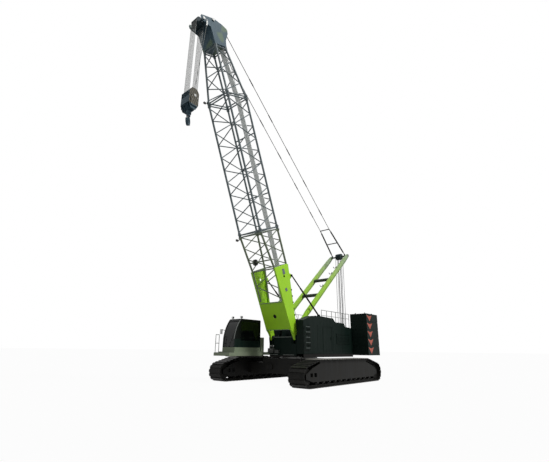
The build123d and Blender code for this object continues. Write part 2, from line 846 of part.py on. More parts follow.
def cab_door():
    """Door leaf in the outer wall, with its handle."""
    leaf = block((door_rear_x + door_gap, door_front_x - door_gap), (cab_outer_y, cab_outer_wall_y),
                 (cab_floor_z + cab_wall + 20 + door_gap, cab_lintel_z + 60 - door_gap))
    handle = block((door_front_x - 100, door_front_x - 75), (cab_outer_y - 35, cab_outer_y + 2),
                   (2700 - 480, 2700 - 300))
    return joined(leaf - door_window(0), handle) - cab_hinge_pins(hinge_pin_radius + seat_gap)


def cab_door_glass():
    """Pane of the cab door."""
    middle_y = (cab_outer_y + cab_outer_wall_y) / 2
    half = glass_thickness / 2
    return door_window(seat_gap) & block((0, 9000), (middle_y - half, middle_y + half), (0, 9000))


cab_middle_y = (cab_inner_y + cab_outer_y) / 2
cab_floor_top = cab_floor_z + cab_wall


def cab_seat():
    """Seat on its pedestal."""
    x = cab_rear_x + 650
    base = block((x - 180, x + 180), (cab_middle_y - 180, cab_middle_y + 180),
                 (cab_floor_top, cab_floor_top + 330))
    cushion = block((x - 250, x + 270), (cab_middle_y - 260, cab_middle_y + 260),
                    (cab_floor_top + 325, cab_floor_top + 460))
    back = plate_xz([(x - 250, cab_floor_top + 440), (x - 130, cab_floor_top + 440),
                     (x - 230, cab_floor_top + 1120), (x - 340, cab_floor_top + 1120)],
                    cab_middle_y - 240, cab_middle_y + 240)
    return joined(base, cushion, back)


def cab_console():
    """Armrest consoles beside the seat and the pedal box in front."""
    made = []
    for side in (-1, 1):
        middle = cab_middle_y + side * 350
        rear, stick = cab_rear_x + 480, cab_rear_x + 950
        body = block((rear, rear + 580), (middle - 70, middle + 70), (cab_floor_top, cab_floor_top + 620))
        lever = rod((stick, middle, cab_floor_top + 600), (stick + 30, middle, cab_floor_top + 820), 18)
        knob = Pos(stick + 34, middle, cab_floor_top + 840) * Sphere(34)
        made.append(joined(body, lever, knob))
    toe = cab_front_x - 350
    made.append(plate_xz([(toe - 350, cab_floor_top), (toe, cab_floor_top), (toe - 140, cab_floor_top + 240)],
                         cab_middle_y - 300, cab_middle_y + 300))
    return group(made)


def cab_platform():
    """Deep skirt and walkway under and ahead of the cab, its carrying arms and the rear box."""
    top = cab_floor_z - seat_gap
    locker_rear = cab_rear_x - 30 - locker_length
    deck = block((locker_rear, platform_front_x), (platform_outer_y, platform_inner_y),
                 (platform_bottom_z, top))
    nose = block((cab_front_x + 60, platform_front_x + 1), (platform_outer_y - 1, platform_inner_y + 1),
                 (top - 60, top + 1))
    shelf = block((deck_front_x - 700, locker_rear + 10), (platform_outer_y + 300, platform_inner_y),
                  (deck_bottom_z, top - 20))
    arms = [block((x - 120, x + 120), (platform_inner_y - 10, -deck_half_width), (deck_bottom_z, top - 20))
            for x in (deck_front_x - 560, deck_front_x - 120)]
    locker = block((locker_rear, locker_rear + locker_length), (cab_outer_y + 100, cab_inner_y + 60),
                   (top - 10, locker_top_z))
    return joined(deck - nose, shelf, arms, locker)


def platform_rail():
    """Guard rail round the outer front corner of the platform."""
    y = platform_outer_y + 60
    front = platform_front_x - 60
    base = cab_floor_z - 60
    top = base + 1080
    posts = [rod((x, y, base), (x, y, top), rail_radius) for x in (front, cab_front_x + 130)]
    bars = [rod((front, y, z), (cab_front_x + 130, y, z), rail_radius) for z in (top, base + 560)]
    return joined(posts, bars)


def lamps_and_mirrors():
    """Two work lamps on the cab roof and the mirror on its arm."""
    made = []
    for y in (cab_inner_y - 150, cab_outer_y + 150):
        x = cab_brow_x - 140
        stem = rod((x, y, cab_roof_z), (x, y, cab_roof_z + 80), 16)
        body = rod((x - 50, y, cab_roof_z + 130), (x + 60, y, cab_roof_z + 130), 72)
        made.append(joined(stem, body))
    x = cab_front_x - 200
    foot = block((x - 30, x + 30), (cab_outer_y - 14, cab_outer_y - seat_gap), (3040, 3120))
    arm = rod((x, cab_outer_y - 10, 3080), (x + 160, cab_outer_y - 230, 3150), 16)
    glass = block((x + 135, x + 185), (cab_outer_y - 320, cab_outer_y - 140), (2860, 3160))
    made.append(joined(foot, arm, glass))
    return group(made)


# ------------------------------------------------------------------------- boom
def on_boom(*shapes):
    """Solids drawn with X along the boom and Z away from its front face, put in place."""
    place = Pos(boom_foot_x, 0, boom_foot_z) * Rot(0, -boom_angle, 0)
    return [place * solid for solid in solids_of(shapes)]


def line_at(start, end, s):
    """Value at s on a straight line between two (s, value) points."""
    return start[1] + (end[1] - start[1]) * (s - start[0]) / (end[0] - start[0])


def front_edge(s):
    """Front edge of the butt's side plates."""
    return line_at((front_plate_start, -340), (butt_plate_end, -plate_front), s)


def rear_edge(s):
    """Rear edge of the butt's side plates."""
    return line_at((front_plate_start, 250), (butt_plate_end, plate_rear), s)


# Corner posts of the boom's cross-section at a station: s, half width, front n, rear n,
# all at the chords' centres.
chord_y = section_width / 2 - chord_radius
chord_n = section_depth / 2 - chord_radius
plate_y = plate_width / 2 - side_plate
head_chord_y = head_width / 2 - chord_radius
stations = {
    "foot": (front_plate_start, plate_y - chord_radius + 8, front_edge(front_plate_start) + 80,
             rear_edge(front_plate_start) - 80),
    "plates": (butt_plate_end, plate_y - chord_radius + 8, front_edge(butt_plate_end) + 80,
               rear_edge(butt_plate_end) - 80),
    "butt": (butt_end, chord_y, -chord_n, chord_n),
    "insert": (insert_end, chord_y, -chord_n, chord_n),
    "top": (top_end, head_chord_y, head_offset - head_depth / 2 + chord_radius,
            head_offset + head_depth / 2 - chord_radius),
}


def corner(first, second, share, side, rear):
    """Point on one of the four chords between two stations."""
    a, b = stations[first], stations[second]
    place = [low + (high - low) * share for low, high in zip(a, b)]
    return Vector(place[0], side * place[1], place[3] if rear else place[2])


chord_ends = ((1, False), (1, True), (-1, False), (-1, True))
lattice_faces = (((1, False), (1, True)), ((-1, False), (-1, True)), ((1, False), (-1, False)),
                 ((1, True), (-1, True)))


def chords(first, second, start_gap=0, end_gap=0):
    """Four chord tubes between two stations, stopping short of them by the gaps."""
    length = stations[second][0] - stations[first][0]
    shares = (start_gap / length, 1 - end_gap / length)
    return [rod(corner(first, second, shares[0], *end), corner(first, second, shares[1], *end),
                chord_radius) for end in chord_ends]


def bracing(first, second, panels, faces=lattice_faces, start=0.03, stop=0.97):
    """Zigzag braces on the named faces."""
    made = []
    for one, other in faces:
        for number in range(panels):
            shares = [start + (stop - start) * (number + step) / panels for step in (0, 1)]
            ends = (one, other) if number % 2 == 0 else (other, one)
            made.append(rod(corner(first, second, shares[0], *ends[0]),
                            corner(first, second, shares[1], *ends[1]), brace_radius))
    return made


def posts(first, second, shares, faces=lattice_faces):
    """Straight cross tubes on the named faces."""
    return [rod(corner(first, second, share, *one), corner(first, second, share, *other), post_radius)
            for share in shares for one, other in faces]


def joint_lugs(station, direction):
    """Thick sleeves at the chord ends of a section, on the side where the section lies."""
    made = []
    for end in chord_ends:
        face = corner(station, station, 0, *end)
        made.append(rod(face, face + Vector(direction * joint_lug_length, 0, 0), joint_lug_radius))
    return made


def boom_butt():
    """Foot section: two side plates, a front plate, chords and open lattice above."""
    plates = []
    for side in (1, -1):
        low, high = sorted((side * plate_y, side * (plate_y + side_plate)))
        outline = [(180, -150), (front_plate_start, front_edge(front_plate_start)),
                   (butt_plate_end, front_edge(butt_plate_end)),
                   (butt_plate_end, rear_edge(butt_plate_end)),
                   (front_plate_start, rear_edge(front_plate_start)), (180, 150)]
        plate = plate_xz(outline, low, high)
        plate -= cross_rod(3950, 230, low - 1, high + 1, 85)
        inner, outer = sorted((side * (boom_foot_y - foot_width / 2), side * (boom_foot_y + foot_width / 2)))
        leg = plate_xz([(0, -foot_boss_radius), (front_plate_start + 150, -300),
                        (front_plate_start + 150, 220), (0, foot_boss_radius)], inner, outer)
        boss = cross_rod(0, 0, inner, outer, foot_boss_radius)
        ear = plate_xz([(backstop_eye_s - 230, rear_edge(backstop_eye_s) - 60),
                        (backstop_eye_s + 230, rear_edge(backstop_eye_s) - 60),
                        (backstop_eye_s + 80, backstop_eye_n + 50),
                        (backstop_eye_s - 80, backstop_eye_n + 50)], low, high)
        plates += [plate, leg, boss, ear]
    front = plate_xz([(front_plate_start, front_edge(front_plate_start)),
                      (front_plate_end, front_edge(front_plate_end)),
                      (front_plate_end, front_edge(front_plate_end) + front_plate_thickness),
                      (front_plate_start, front_edge(front_plate_start) + front_plate_thickness)],
                     -plate_y - 10, plate_y + 10)
    hole_n = front_edge(front_plate_hole_place)
    hole = rod((front_plate_hole_place, 0, hole_n - 60), (front_plate_hole_place, 0, hole_n + 90),
               front_plate_hole_radius)
    lips = [block((s, s + 40), (-plate_y - 10, plate_y + 10), (front_edge(s) - 45, front_edge(s) + 60))
            for s in (front_plate_start - 10, front_plate_end - 30)]
    tubes = chords("foot", "plates", end_gap=-30) + chords("plates", "butt", end_gap=lug_cover)
    front_face = (((1, False), (-1, False)),)
    rear_face = (((1, True), (-1, True)),)
    braces = bracing("foot", "plates", 2, front_face, 0.50, 0.99)
    braces += bracing("foot", "plates", 4, rear_face, 0.10, 0.97)
    braces += bracing("plates", "butt", butt_panels)
    ties = posts("plates", "butt", (0.0, 0.97)) + posts("foot", "plates", (0.10,), rear_face)
    roller_post = posts("plates", "butt", (0.24,), front_face)
    place = corner("plates", "butt", 0.24, 1, False)
    roller = cross_rod(place.X, place.Z, -470, -360, 180)
    lugs = joint_lugs("butt", -1)
    shape = joined(on_boom(plates, front - hole, lips, tubes, braces, ties, roller_post, roller, lugs))
    pins = both_sides(cross_rod(0, 0, boom_foot_y - foot_width, boom_foot_y + foot_width,
                                foot_pin_radius + pin_gap))
    return shape - on_boom(pins)


def boom_insert():
    """Parallel lattice section."""
    rear_face = (((1, True), (-1, True)),)
    return joined(on_boom(chords("butt", "insert", lug_cover, lug_cover),
                          bracing("butt", "insert", insert_panels),
                          posts("butt", "insert", (0.008, 0.992)),
                          posts("butt", "insert", (0.27, 0.5, 0.73), rear_face),
                          joint_lugs("butt", 1), joint_lugs("insert", -1)))


def boom_top():
    """Tapered lattice section below the head."""
    return joined(on_boom(chords("insert", "top", lug_cover, lug_cover),
                          bracing("insert", "top", top_panels, start=0.08, stop=0.93),
                          posts("insert", "top", (0.025, 0.965)), joint_lugs("insert", 1),
                          joint_lugs("top", -1)))


head_outline = ((19560, -565), (20600, -620), (20840, -1140), (20950, -1300), (21130, -1310),
                (21230, -1232), (21322, -140), (21130, 560), (20960, 900), (20840, 950),
                (20600, 900), (20050, 560), (19560, 441))


def boom_head():
    """Two plates with a closed front face, rear web and pendant ears."""
    half = head_width / 2
    cheeks = both_sides(plate_xz(head_outline, half - head_plate, half))
    front = plate_xz([(19560, -565), (20600, -620), (20595, -590), (19560, -535)],
                     -half + head_plate - 5, half - head_plate + 5)
    web = plate_xz([(19600, 400), (20050, 525), (20600, 860), (20590, 890), (20040, 560), (19600, 435)],
                   -half + head_plate - 5, half - head_plate + 5)
    floor = plate_xz([(19560, -560), (19600, -560), (19600, 430), (19560, 430)],
                     -half + head_plate - 5, half - head_plate + 5)
    crown = plate_xz([(21225, -760), (21255, -760), (21255, -540), (21225, -540)],
                     -half + head_plate - 5, half - head_plate + 5)
    axles = [(head_sheave_s, head_sheave_n), (guide_sheave_s, guide_sheave_n)]
    bores = [cross_rod(s, n, -half - 1, half + 1, axle_radius + seat_gap) for s, n in axles]
    ears = []
    for side in (1, -1):
        low, high = sorted((side * (pendant_half_gap - 60), side * (half - 10)))
        ears.append(cross_rod(pendant_anchor_s, pendant_anchor_n, low, high, 75))
    hanger = cross_rod(*socket_pin, half - 10, half + socket_offset + 40, socket_pin_radius)
    body = joined(on_boom(cheeks, front, web, floor, crown)) - on_boom(bores)
    return joined(body, on_boom(ears, hanger))


def head_sheaves():
    """Main and guide sheaves in the head, each row on its axle."""
    half = head_width / 2 + 40
    rows = [sheave_row(head_sheave_s, head_sheave_n, head_sheave_count, sheave_pitch, sheave_radius, half),
            sheave_row(guide_sheave_s, guide_sheave_n, 2, 3 * sheave_pitch, guide_sheave_radius, half)]
    return group(on_boom(rows))


walkway_y = (60, 430)
walkway_thickness = 40


def boom_walkway():
    """Grating laid under the rear face of the lattice, one length to each section."""
    lengths = []
    for first, second, start, finish in (("foot", "plates", front_plate_start + 350, butt_plate_end - 35),
                                         ("plates", "butt", butt_plate_end - 15, butt_end - 20),
                                         ("butt", "insert", butt_end + 20, insert_end - 20),
                                         ("insert", "top", insert_end + 20, top_end - 60)):
        edge = [(stations[name][0], stations[name][3]) for name in (first, second)]
        lean = math.hypot(1, (edge[1][1] - edge[0][1]) / (edge[1][0] - edge[0][0]))
        seat = (post_radius + seat_gap) * lean
        ends = [(s, line_at(*edge, s) - seat) for s in (start, finish)]
        outline = ends + [(s, n - walkway_thickness) for s, n in reversed(ends)]
        lengths.append(plate_xz(outline, *walkway_y))
    return group(on_boom(lengths))


# ------------------------------------------------------- pendants and the mast
mast_vector = Vector(mast_head_x - mast_foot_x, 0, mast_head_z - mast_foot_z)
mast_length = mast_vector.length
mast_angle = math.degrees(math.atan2(mast_vector.Z, mast_vector.X))


def boom_point(s, n, y=0):
    """Place in the crane's frame of a point given along the boom."""
    turn = math.radians(boom_angle)
    return Vector(boom_foot_x + s * math.cos(turn) - n * math.sin(turn), y,
                  boom_foot_z + s * math.sin(turn) + n * math.cos(turn))


def on_mast(*shapes):
    """Solids drawn with X along the mast, put in place."""
    place = Pos(mast_foot_x, 0, mast_foot_z) * Rot(0, -mast_angle, 0)
    return [place * solid for solid in solids_of(shapes)]


def pendants():
    """Two stays from the boom head to the mast head, with spreader bars between them."""
    anchor = boom_point(pendant_anchor_s, pendant_anchor_n)
    head = Vector(mast_head_x, 0, mast_head_z)
    along = (anchor - head).normalized()
    start = head + along * 150
    knee = head + along * spreader_places[1]
    end = anchor - along * 90
    made = []
    for side in (-1, 1):
        shift = Vector(0, side * pendant_half_gap, 0)
        foot_shift = Vector(0, side * pendant_foot_half_gap, 0)
        made.append(rod(start + foot_shift, knee + shift, pendant_link_radius))
        made.append(rod(knee + shift, end + shift, pendant_rope_radius))
        for place, middle, radius in ((anchor, shift.Y, 100), (start, foot_shift.Y, 75)):
            made.append(cross_rod(place.X, place.Z, middle - 30, middle + 30, radius))
    for place in spreader_places:
        spot = head + along * place
        half = line_at((150, pendant_foot_half_gap), (spreader_places[1], pendant_half_gap), place)
        made.append(cross_rod(spot.X, spot.Z, -half, half, 40))
    ear = both_sides(cross_rod(anchor.X, anchor.Z, 0, pendant_half_gap + 61, 75 + pin_gap))
    return joined(made) - ear


def mast_frame():
    """Two box legs tied by two cross tubes, with a head plate on each leg."""
    pieces = []
    for side in (1, -1):
        low, high = sorted((side * (mast_half_gap - mast_leg_width / 2),
                            side * (mast_half_gap + mast_leg_width / 2)))
        leg = plate_xz([(0, -mast_foot_depth / 2), (900, -mast_leg_depth / 2),
                        (mast_length - 700, -mast_leg_depth / 2), (mast_length + 60, -120),
                        (mast_length + 60, 120), (mast_length - 700, mast_leg_depth / 2),
                        (900, mast_leg_depth / 2), (0, mast_foot_depth / 2)], low, high)
        boss = cross_rod(0, 0, low, high, mast_foot_depth / 2)
        pieces += [leg, boss]
    for place in cross_member_places:
        pieces.append(cross_rod(place, 0, -mast_half_gap, mast_half_gap, cross_member_radius))
    pieces.append(cross_rod(mast_length, 0, -mast_half_gap, mast_half_gap, axle_radius + 8))
    pins = both_sides(cross_rod(0, 0, mast_half_gap - mast_leg_width, mast_half_gap + mast_leg_width,
                                mast_pin_radius + pin_gap))
    return joined(on_mast(pieces)) - on_mast(pins)


def mast_sheaves():
    """Upper sheaves of the boom hoist, on the mast's head tube."""
    discs = []
    place = mast_length
    for number in range(mast_sheave_count):
        y = (number - (mast_sheave_count - 1) / 2) * sheave_pitch
        disc = sheave(place, 0, y, mast_sheave_radius, sheave_width)
        discs.append(disc - cross_rod(place, 0, -1000, 1000, axle_radius + 8 + seat_gap))
    return group(on_mast(discs))


# -------------------------------------------------------------------- backstops
backstop_base = Vector(backstop_base_x, 0, backstop_base_z)
backstop_eye = boom_point(backstop_eye_s, backstop_eye_n)
backstop_along = (backstop_eye - backstop_base).normalized()


def backstop_brackets():
    """Forked brackets on the house roofs that carry the barrels."""
    made = []
    for side in (1, -1):
        for low in (-62 - 20, 62):
            y_low = side * backstop_y + low
            made.append(plate_xz([(backstop_base_x - 110, house_roof_z(backstop_base_x - 110) - 5),
                                  (backstop_base_x + 110, house_roof_z(backstop_base_x + 110) - 5),
                                  (backstop_base_x + 60, backstop_base_z + 60),
                                  (backstop_base_x - 60, backstop_base_z + 60)], y_low, y_low + 20))
        made.append(cross_rod(backstop_base_x, backstop_base_z, side * backstop_y - 62,
                              side * backstop_y + 62, 30 - pin_gap))
    return made


def backstop_barrels():
    """Outer tubes, hung in the brackets."""
    made = []
    for side in (1, -1):
        shift = Vector(0, side * backstop_y, 0)
        tube = rod(backstop_base + backstop_along * 45 + shift,
                   backstop_base + backstop_along * backstop_barrel_length + shift, backstop_barrel_radius)
        eye = cross_rod(backstop_base_x, backstop_base_z, side * backstop_y - 50,
                        side * backstop_y + 50, 62)
        bore = rod(backstop_base + backstop_along * 110 + shift,
                   backstop_base + backstop_along * (backstop_barrel_length + 1) + shift,
                   backstop_rod_radius + pin_gap)
        pin = cross_rod(backstop_base_x, backstop_base_z, side * backstop_y - 80,
                        side * backstop_y + 80, 30)
        made.append(joined(tube, eye) - bore - pin)
    return group(made)


def backstop_rods():
    """Inner rods, their eyes beside the boom's side plates."""
    made = []
    for side in (1, -1):
        shift = Vector(0, side * backstop_y, 0)
        bar = rod(backstop_eye - backstop_along * 3050 + shift, backstop_eye + shift, backstop_rod_radius)
        eye = cross_rod(backstop_eye.X, backstop_eye.Z, side * backstop_y - 30,
                        side * backstop_y + 30, 70)
        made.append(joined(bar, eye))
    return group(made)


# ------------------------------------------------------------------- hook block
fall_x = boom_point(head_sheave_s, head_sheave_n).X


def hook_block():
    """Cheeks, spacer plates and the cross-head, with ballast cheeks outside."""
    outline = [(fall_x - block_half_depth, block_bottom_z + 330), (fall_x - block_half_depth, 16250),
               (fall_x - 170, block_top_z), (fall_x + 170, block_top_z), (fall_x + block_half_depth, 16250),
               (fall_x + block_half_depth, block_bottom_z + 330), (fall_x + 170, block_bottom_z),
               (fall_x - 170, block_bottom_z)]
    cheeks = both_sides(plate_xz(outline, block_half_width - block_plate, block_half_width))
    ballast = both_sides(plate_xz([(fall_x - 240, 15250), (fall_x + 240, 15250), (fall_x + 240, 15900),
                                   (fall_x - 240, 15900)], block_half_width - 5, block_half_width + 60))
    cross_head = block((fall_x - 130, fall_x + 130), (-block_half_width + 10, block_half_width - 10),
                       (block_bottom_z + 40, block_bottom_z + 300))
    guards = [block((fall_x + side * (block_half_depth - 8) - 8, fall_x + side * (block_half_depth - 8) + 8),
                    (-block_half_width + 10, block_half_width - 10), (15430, 15880)) for side in (-1, 1)]
    hangers = [plate_xz(outline, y - 10, y + 10)
               for y in ((number - head_sheave_count / 2) * sheave_pitch
                         for number in range(1, head_sheave_count))]
    bore = rod((fall_x, 0, 14000), (fall_x, 0, block_bottom_z + 230), hook_shank_radius + pin_gap)
    axle = cross_rod(fall_x, block_axle_z, -900, 900, axle_radius + seat_gap)
    return joined(cheeks, ballast, hangers, cross_head, guards) - bore - axle


def hook_block_sheaves():
    """Sheaves of the hook block on their axle."""
    return sheave_row(fall_x, block_axle_z, head_sheave_count, sheave_pitch, sheave_radius,
                      block_half_width + 70)


def hook():
    """Single hook on a round shank, its mouth towards the crane's front."""
    z_eye = 14420
    shank = rod((fall_x, 0, z_eye + hook_throat_radius + 60), (fall_x, 0, block_bottom_z + 225),
                hook_shank_radius)
    collar = rod((fall_x, 0, block_bottom_z - 90), (fall_x, 0, block_bottom_z - 10), hook_shank_radius + 35)
    outer = cross_rod(fall_x, z_eye, -hook_thickness / 2, hook_thickness / 2, hook_throat_radius + 130)
    throat = cross_rod(fall_x, z_eye, -hook_thickness, hook_thickness, hook_throat_radius)
    mouth = plate_xz([(fall_x + 40, z_eye + 20), (fall_x + 400, z_eye + 20), (fall_x + 400, z_eye + 400),
                      (fall_x + 40, z_eye + 260)], -hook_thickness, hook_thickness)
    shape = joined(shank, collar, outer - throat - mouth)
    return Pos(fall_x, 0, 0) * Rot(0, 0, hook_turn) * Pos(-fall_x, 0, 0) * shape


def rope_socket():
    """Dead end of the hoist rope, hung from the head's front."""
    place = boom_point(*socket_pin)
    y = head_width / 2 + socket_offset
    eye = cross_rod(place.X, place.Z, y - 25, y + 25, 60)
    body = block((place.X - 45, place.X + 45), (y - 35, y + 35), (place.Z - 420, place.Z - 45))
    bore = cross_rod(place.X, place.Z, y - 60, y + 60, socket_pin_radius + pin_gap)
    return joined(eye, body) - bore


# ------------------------------------------------------------------------ write
def main():
    """Build and write every sub-part."""
    os.makedirs("parts", exist_ok=True)
    parts = {
        "carbody": carbody(),
        "slew_ring": slew_ring(),
        "track_frames": group([track_frame(side) for side in (1, -1)]),
        "track_left": track(1),
        "track_right": track(-1),
        "idlers": group([end_wheel(front_x, side) for side in (1, -1)]),
        "sprockets": group([sprocket(side) for side in (1, -1)]),
        "track_rollers": group([rollers(side) for side in (1, -1)]),
        "deck_frame": deck_frame(),
        "house_left": joined(house(1, left_house_front_x), backstop_brackets()[:3]),
        "house_right": joined(house(-1, right_house_front_x), backstop_brackets()[3:]),
        "engine_block": engine(),
        "exhaust_stack": exhaust(),
        "handrails": group(handrails()),
        "side_ladder": ladder(),
        "luffing_block": luffing_block(),
        "counterweight_tray": ballast_tray(),
        "counterweight_stacks": group([ballast_stack(side) for side in (1, -1)]),
        "cab_platform": cab_platform(),
        "platform_rail": platform_rail(),
        "cab_glass": cab_glass(),
        "cab_door": cab_door(),
        "cab_door_glass": cab_door_glass(),
        "cab_seat": cab_seat(),
        "cab_console": cab_console(),
        "lamps_and_mirrors": lamps_and_mirrors(),
        "boom_butt": boom_butt(),
        "boom_insert": boom_insert(),
        "boom_top": boom_top(),
        "boom_head": boom_head(),
        "head_sheaves": head_sheaves(),
        "boom_walkway": boom_walkway(),
        "pendants": pendants(),
        "mast_frame": mast_frame(),
        "mast_sheaves": mast_sheaves(),
        "backstop_barrels": backstop_barrels(),
        "backstop_rods": backstop_rods(),
        "rope_socket": rope_socket(),
        "hook_block": hook_block(),
        "hook_block_sheaves": hook_block_sheaves(),
        "hook": hook(),
    }
    parts.update(cab_shell())
    parts.update({name: house_door(name) for name in door_places})
    parts.update({name: winch_drum(x) for name, x in winch_places})
    for name, shape in parts.items():
        save(name, shape)


if __name__ == "__main__":
    main()
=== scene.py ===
"""Finish of the crawler crane: paints, ropes, fittings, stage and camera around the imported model."""
import math

import bmesh
import bpy
from bpy.props import FloatProperty, FloatVectorProperty, IntProperty, PointerProperty
from bpy.types import Operator, Panel, PropertyGroup
from mathutils import Matrix, Vector


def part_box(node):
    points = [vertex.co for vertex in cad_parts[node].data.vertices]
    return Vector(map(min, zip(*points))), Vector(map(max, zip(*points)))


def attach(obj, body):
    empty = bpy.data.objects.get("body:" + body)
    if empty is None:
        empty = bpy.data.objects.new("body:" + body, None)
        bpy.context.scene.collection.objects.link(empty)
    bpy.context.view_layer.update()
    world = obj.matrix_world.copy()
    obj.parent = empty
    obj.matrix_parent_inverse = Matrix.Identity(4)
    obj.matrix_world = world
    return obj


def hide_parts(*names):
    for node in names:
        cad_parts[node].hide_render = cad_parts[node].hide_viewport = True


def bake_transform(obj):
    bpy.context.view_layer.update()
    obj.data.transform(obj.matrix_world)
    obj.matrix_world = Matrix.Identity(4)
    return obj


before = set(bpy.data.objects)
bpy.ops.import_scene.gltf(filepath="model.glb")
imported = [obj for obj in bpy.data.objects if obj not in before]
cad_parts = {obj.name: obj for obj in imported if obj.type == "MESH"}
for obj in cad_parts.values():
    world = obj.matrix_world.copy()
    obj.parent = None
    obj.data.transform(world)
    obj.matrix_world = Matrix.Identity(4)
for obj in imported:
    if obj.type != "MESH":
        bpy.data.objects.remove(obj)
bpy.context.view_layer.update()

bl_info = {
    "name": "Crawler Crane Finish",
    "version": (1, 0, 0),
    "blender": (4, 5, 0),
    "location": "3D View > Sidebar > Crane",
    "description": "Paints, ropes, fittings and stage for the crawler crane",
    "category": "Object",
}

# Places shared with the part, in metres. On the boom, s runs from the foot pins to the head, y across
# and n to the rear; on the mast, s runs from foot to head and n to its upper side.
BOOM_FOOT = Vector((1.608, 0.0, 2.677))
BOOM_TURN = math.radians(68.0)
MAST_FOOT = Vector((0.658, 0.0, 3.830))
MAST_HEAD = Vector((-6.088, 0.0, 9.645))
MAST_LEG_Y, MAST_STAND_Y = 0.87, 0.945
MAST_SHEAVE_RADIUS = 0.26
MAST_SHEAVES = 6
SHEAVE_PITCH = 0.084
SHEAVE_GROOVE_RADIUS = 0.275
FALLS_AXLE = Vector((10.5003, 0.0, 21.7497))
BLOCK_AXLE_Z = 15.95
HOOK_TURN = math.radians(40.0)
ROLLER_PLACE = (5.212, -0.546)
SECTION_JOINTS_S = (7.097, 16.008)
CHORD_Y, CHORD_N = 0.9675 - 0.066, 0.946 - 0.066
HEAD_AXLES = ((21.015, -1.100), (21.200, -0.250))
HEAD_CHEEK_Y = 0.6535
HEAD_WEB_HALF = 0.568
STAY_ANCHOR = (20.900, 0.0, 0.800)
STAY_HALF_GAP = 0.43
WINCH_Z = 2.76
WINCH_ROPE_RADIUS = 0.37
WINCH_HALF_ROPE = 0.505
WINCHES = (("main_winch", -0.70), ("aux_winch", -2.15), ("luffing_winch", -3.65))
HOUSE_WALL_Y = 1.725
HOUSE_REAR_X = -4.44
HATCH_Y = 1.345
SKIRT_FOOT_Z = 1.500
CAB_ROOF_Z = 3.792
LADDER_X = 1.495
BALLAST_SLABS = 5

# The foot section's side plates: their faces, their ends along the boom, and the front and rear
# edges, which move apart from the foot up.
PLATE_Y = 1.0435
PLATE_ENDS_S = (0.65, 4.617)
PLATE_FRONT_N, PLATE_FRONT_GROWTH = -0.34, -0.18
PLATE_REAR_N, PLATE_REAR_GROWTH = 0.25, 0.68

# Ropes: the lane they run in, the places that the hoist line passes on the boom, as s and n, and
# the rollers below it.
ROPE_LANE_Y = 0.126
DEAD_END_Y = 0.31
HOIST_STOPS = ((4.62, 1.10), (20.58, 1.062), (21.388, -0.121), (21.428, -0.25), (21.361, -0.411),
               (21.305, -1.05))
ROPE_ROLLERS = ((4.62, 1.045), (12.0, 1.028), (20.58, 1.007))
LIMIT_LINE_FOOT = Vector((-4.10, 1.20, 4.53))

# Grilles: the side of the crane, then their ends in X and in Z.
HOUSE_GRILLES = ((1, -3.95, -2.15, 2.35, 3.05), (-1, -1.85, -0.35, 2.30, 3.30),
                 (-1, -4.25, -3.65, 2.10, 3.20))
GRILLE_FRAME = 0.05
SLAT_PITCH = 0.075

# Where one paint or wear gives way to the next, and where the painted shade on the mast's legs and the
# painted
# highlights on the track shoes begin: the two ends of each soft edge, in metres along the boom, across the
# crane, off the mast's axis, off the ladder's middle or up from the ground.
PLATE_TOP_EDGE = (4.655, 4.665)
PLATE_INNER_EDGE = (0.925, 0.93)
FRONT_PLATE_TOP_EDGE = (2.56, 2.57)
FOOT_SECTION_TOP_EDGE = (7.0, 7.1)
# Painted shade: below this edge the lower strip of each mast leg's side, the web between its flanges, is
# darkened.
MAST_WEB_SHADE_EDGE = (-0.045, -0.035)
MAST_LEG_INNER_EDGE = (0.695, 0.705)
CAB_SILL_EDGE = (2.045, 2.055)
CAB_BELT_EDGE = (2.56, 2.57)
CAB_PILLAR_EDGE = (-1.705, -1.700)
RUNG_END_EDGE = (0.226, 0.228)
# Painted highlights: above the first edge and below the second, the track shoes' top and bottom edges are
# lightened where they catch the light.
SHOE_TOP_GLINT_EDGE = (1.428, 1.436)
SHOE_FOOT_GLINT_EDGE = (0.018, 0.026)
EXHAUST_SOOT_EDGE = (4.15, 4.42)
BLOCK_CHEEK_EDGE = (0.395, 0.40)
BLOCK_STRIPE_EDGE = (15.30, 15.34)
# One olive and one dark stripe of the hook block together, and the way that they follow each other.
BLOCK_STRIPE_PITCH = 0.14
BLOCK_STRIPE_SLANT = (0.86, 0.0, -0.5)

# Stage: the camera's place, the ways to its right and its top, its lens in millimetres, and the share
# of the floor's white that is a glow of its own.
CAMERA_PLACE = Vector((20.644, 15.238, 1.927))
CAMERA_RIGHT = Vector((-0.6438, 0.7651, 0.0100))
CAMERA_UP = Vector((0.2474, 0.1957, 0.9489))
CAMERA_LENS = 23.44
FLOOR_GLOW = 0.955


def linear(text):
    """Linear colour of an sRGB hex value."""
    shares = [int(text[place:place + 2], 16) / 255 for place in (1, 3, 5)]
    return tuple(s / 12.92 if s <= 0.04045 else ((s + 0.055) / 1.055) ** 2.4 for s in shares)


def on_boom(s, y, n):
    """Point at s along the boom and n behind its axis."""
    return BOOM_FOOT + Vector((s * math.cos(BOOM_TURN) - n * math.sin(BOOM_TURN), y,
                               s * math.sin(BOOM_TURN) + n * math.cos(BOOM_TURN)))


def on_mast(s, y, n=0.0):
    """Point at s along the mast and n on its upper side."""
    along = (MAST_HEAD - MAST_FOOT).normalized()
    across = Vector((along.z, 0.0, -along.x))
    return MAST_FOOT + along * s + across * n + Vector((0.0, y, 0.0))


def up_plate(s):
    """Share of the way up the foot section's side plates."""
    low, high = PLATE_ENDS_S
    return (s - low) / (high - low)


def plate_front_n(s):
    """Front edge of the foot section's side plates."""
    return PLATE_FRONT_N + up_plate(s) * PLATE_FRONT_GROWTH


def plate_rear_n(s):
    """Rear edge of the foot section's side plates."""
    return PLATE_REAR_N + up_plate(s) * PLATE_REAR_GROWTH


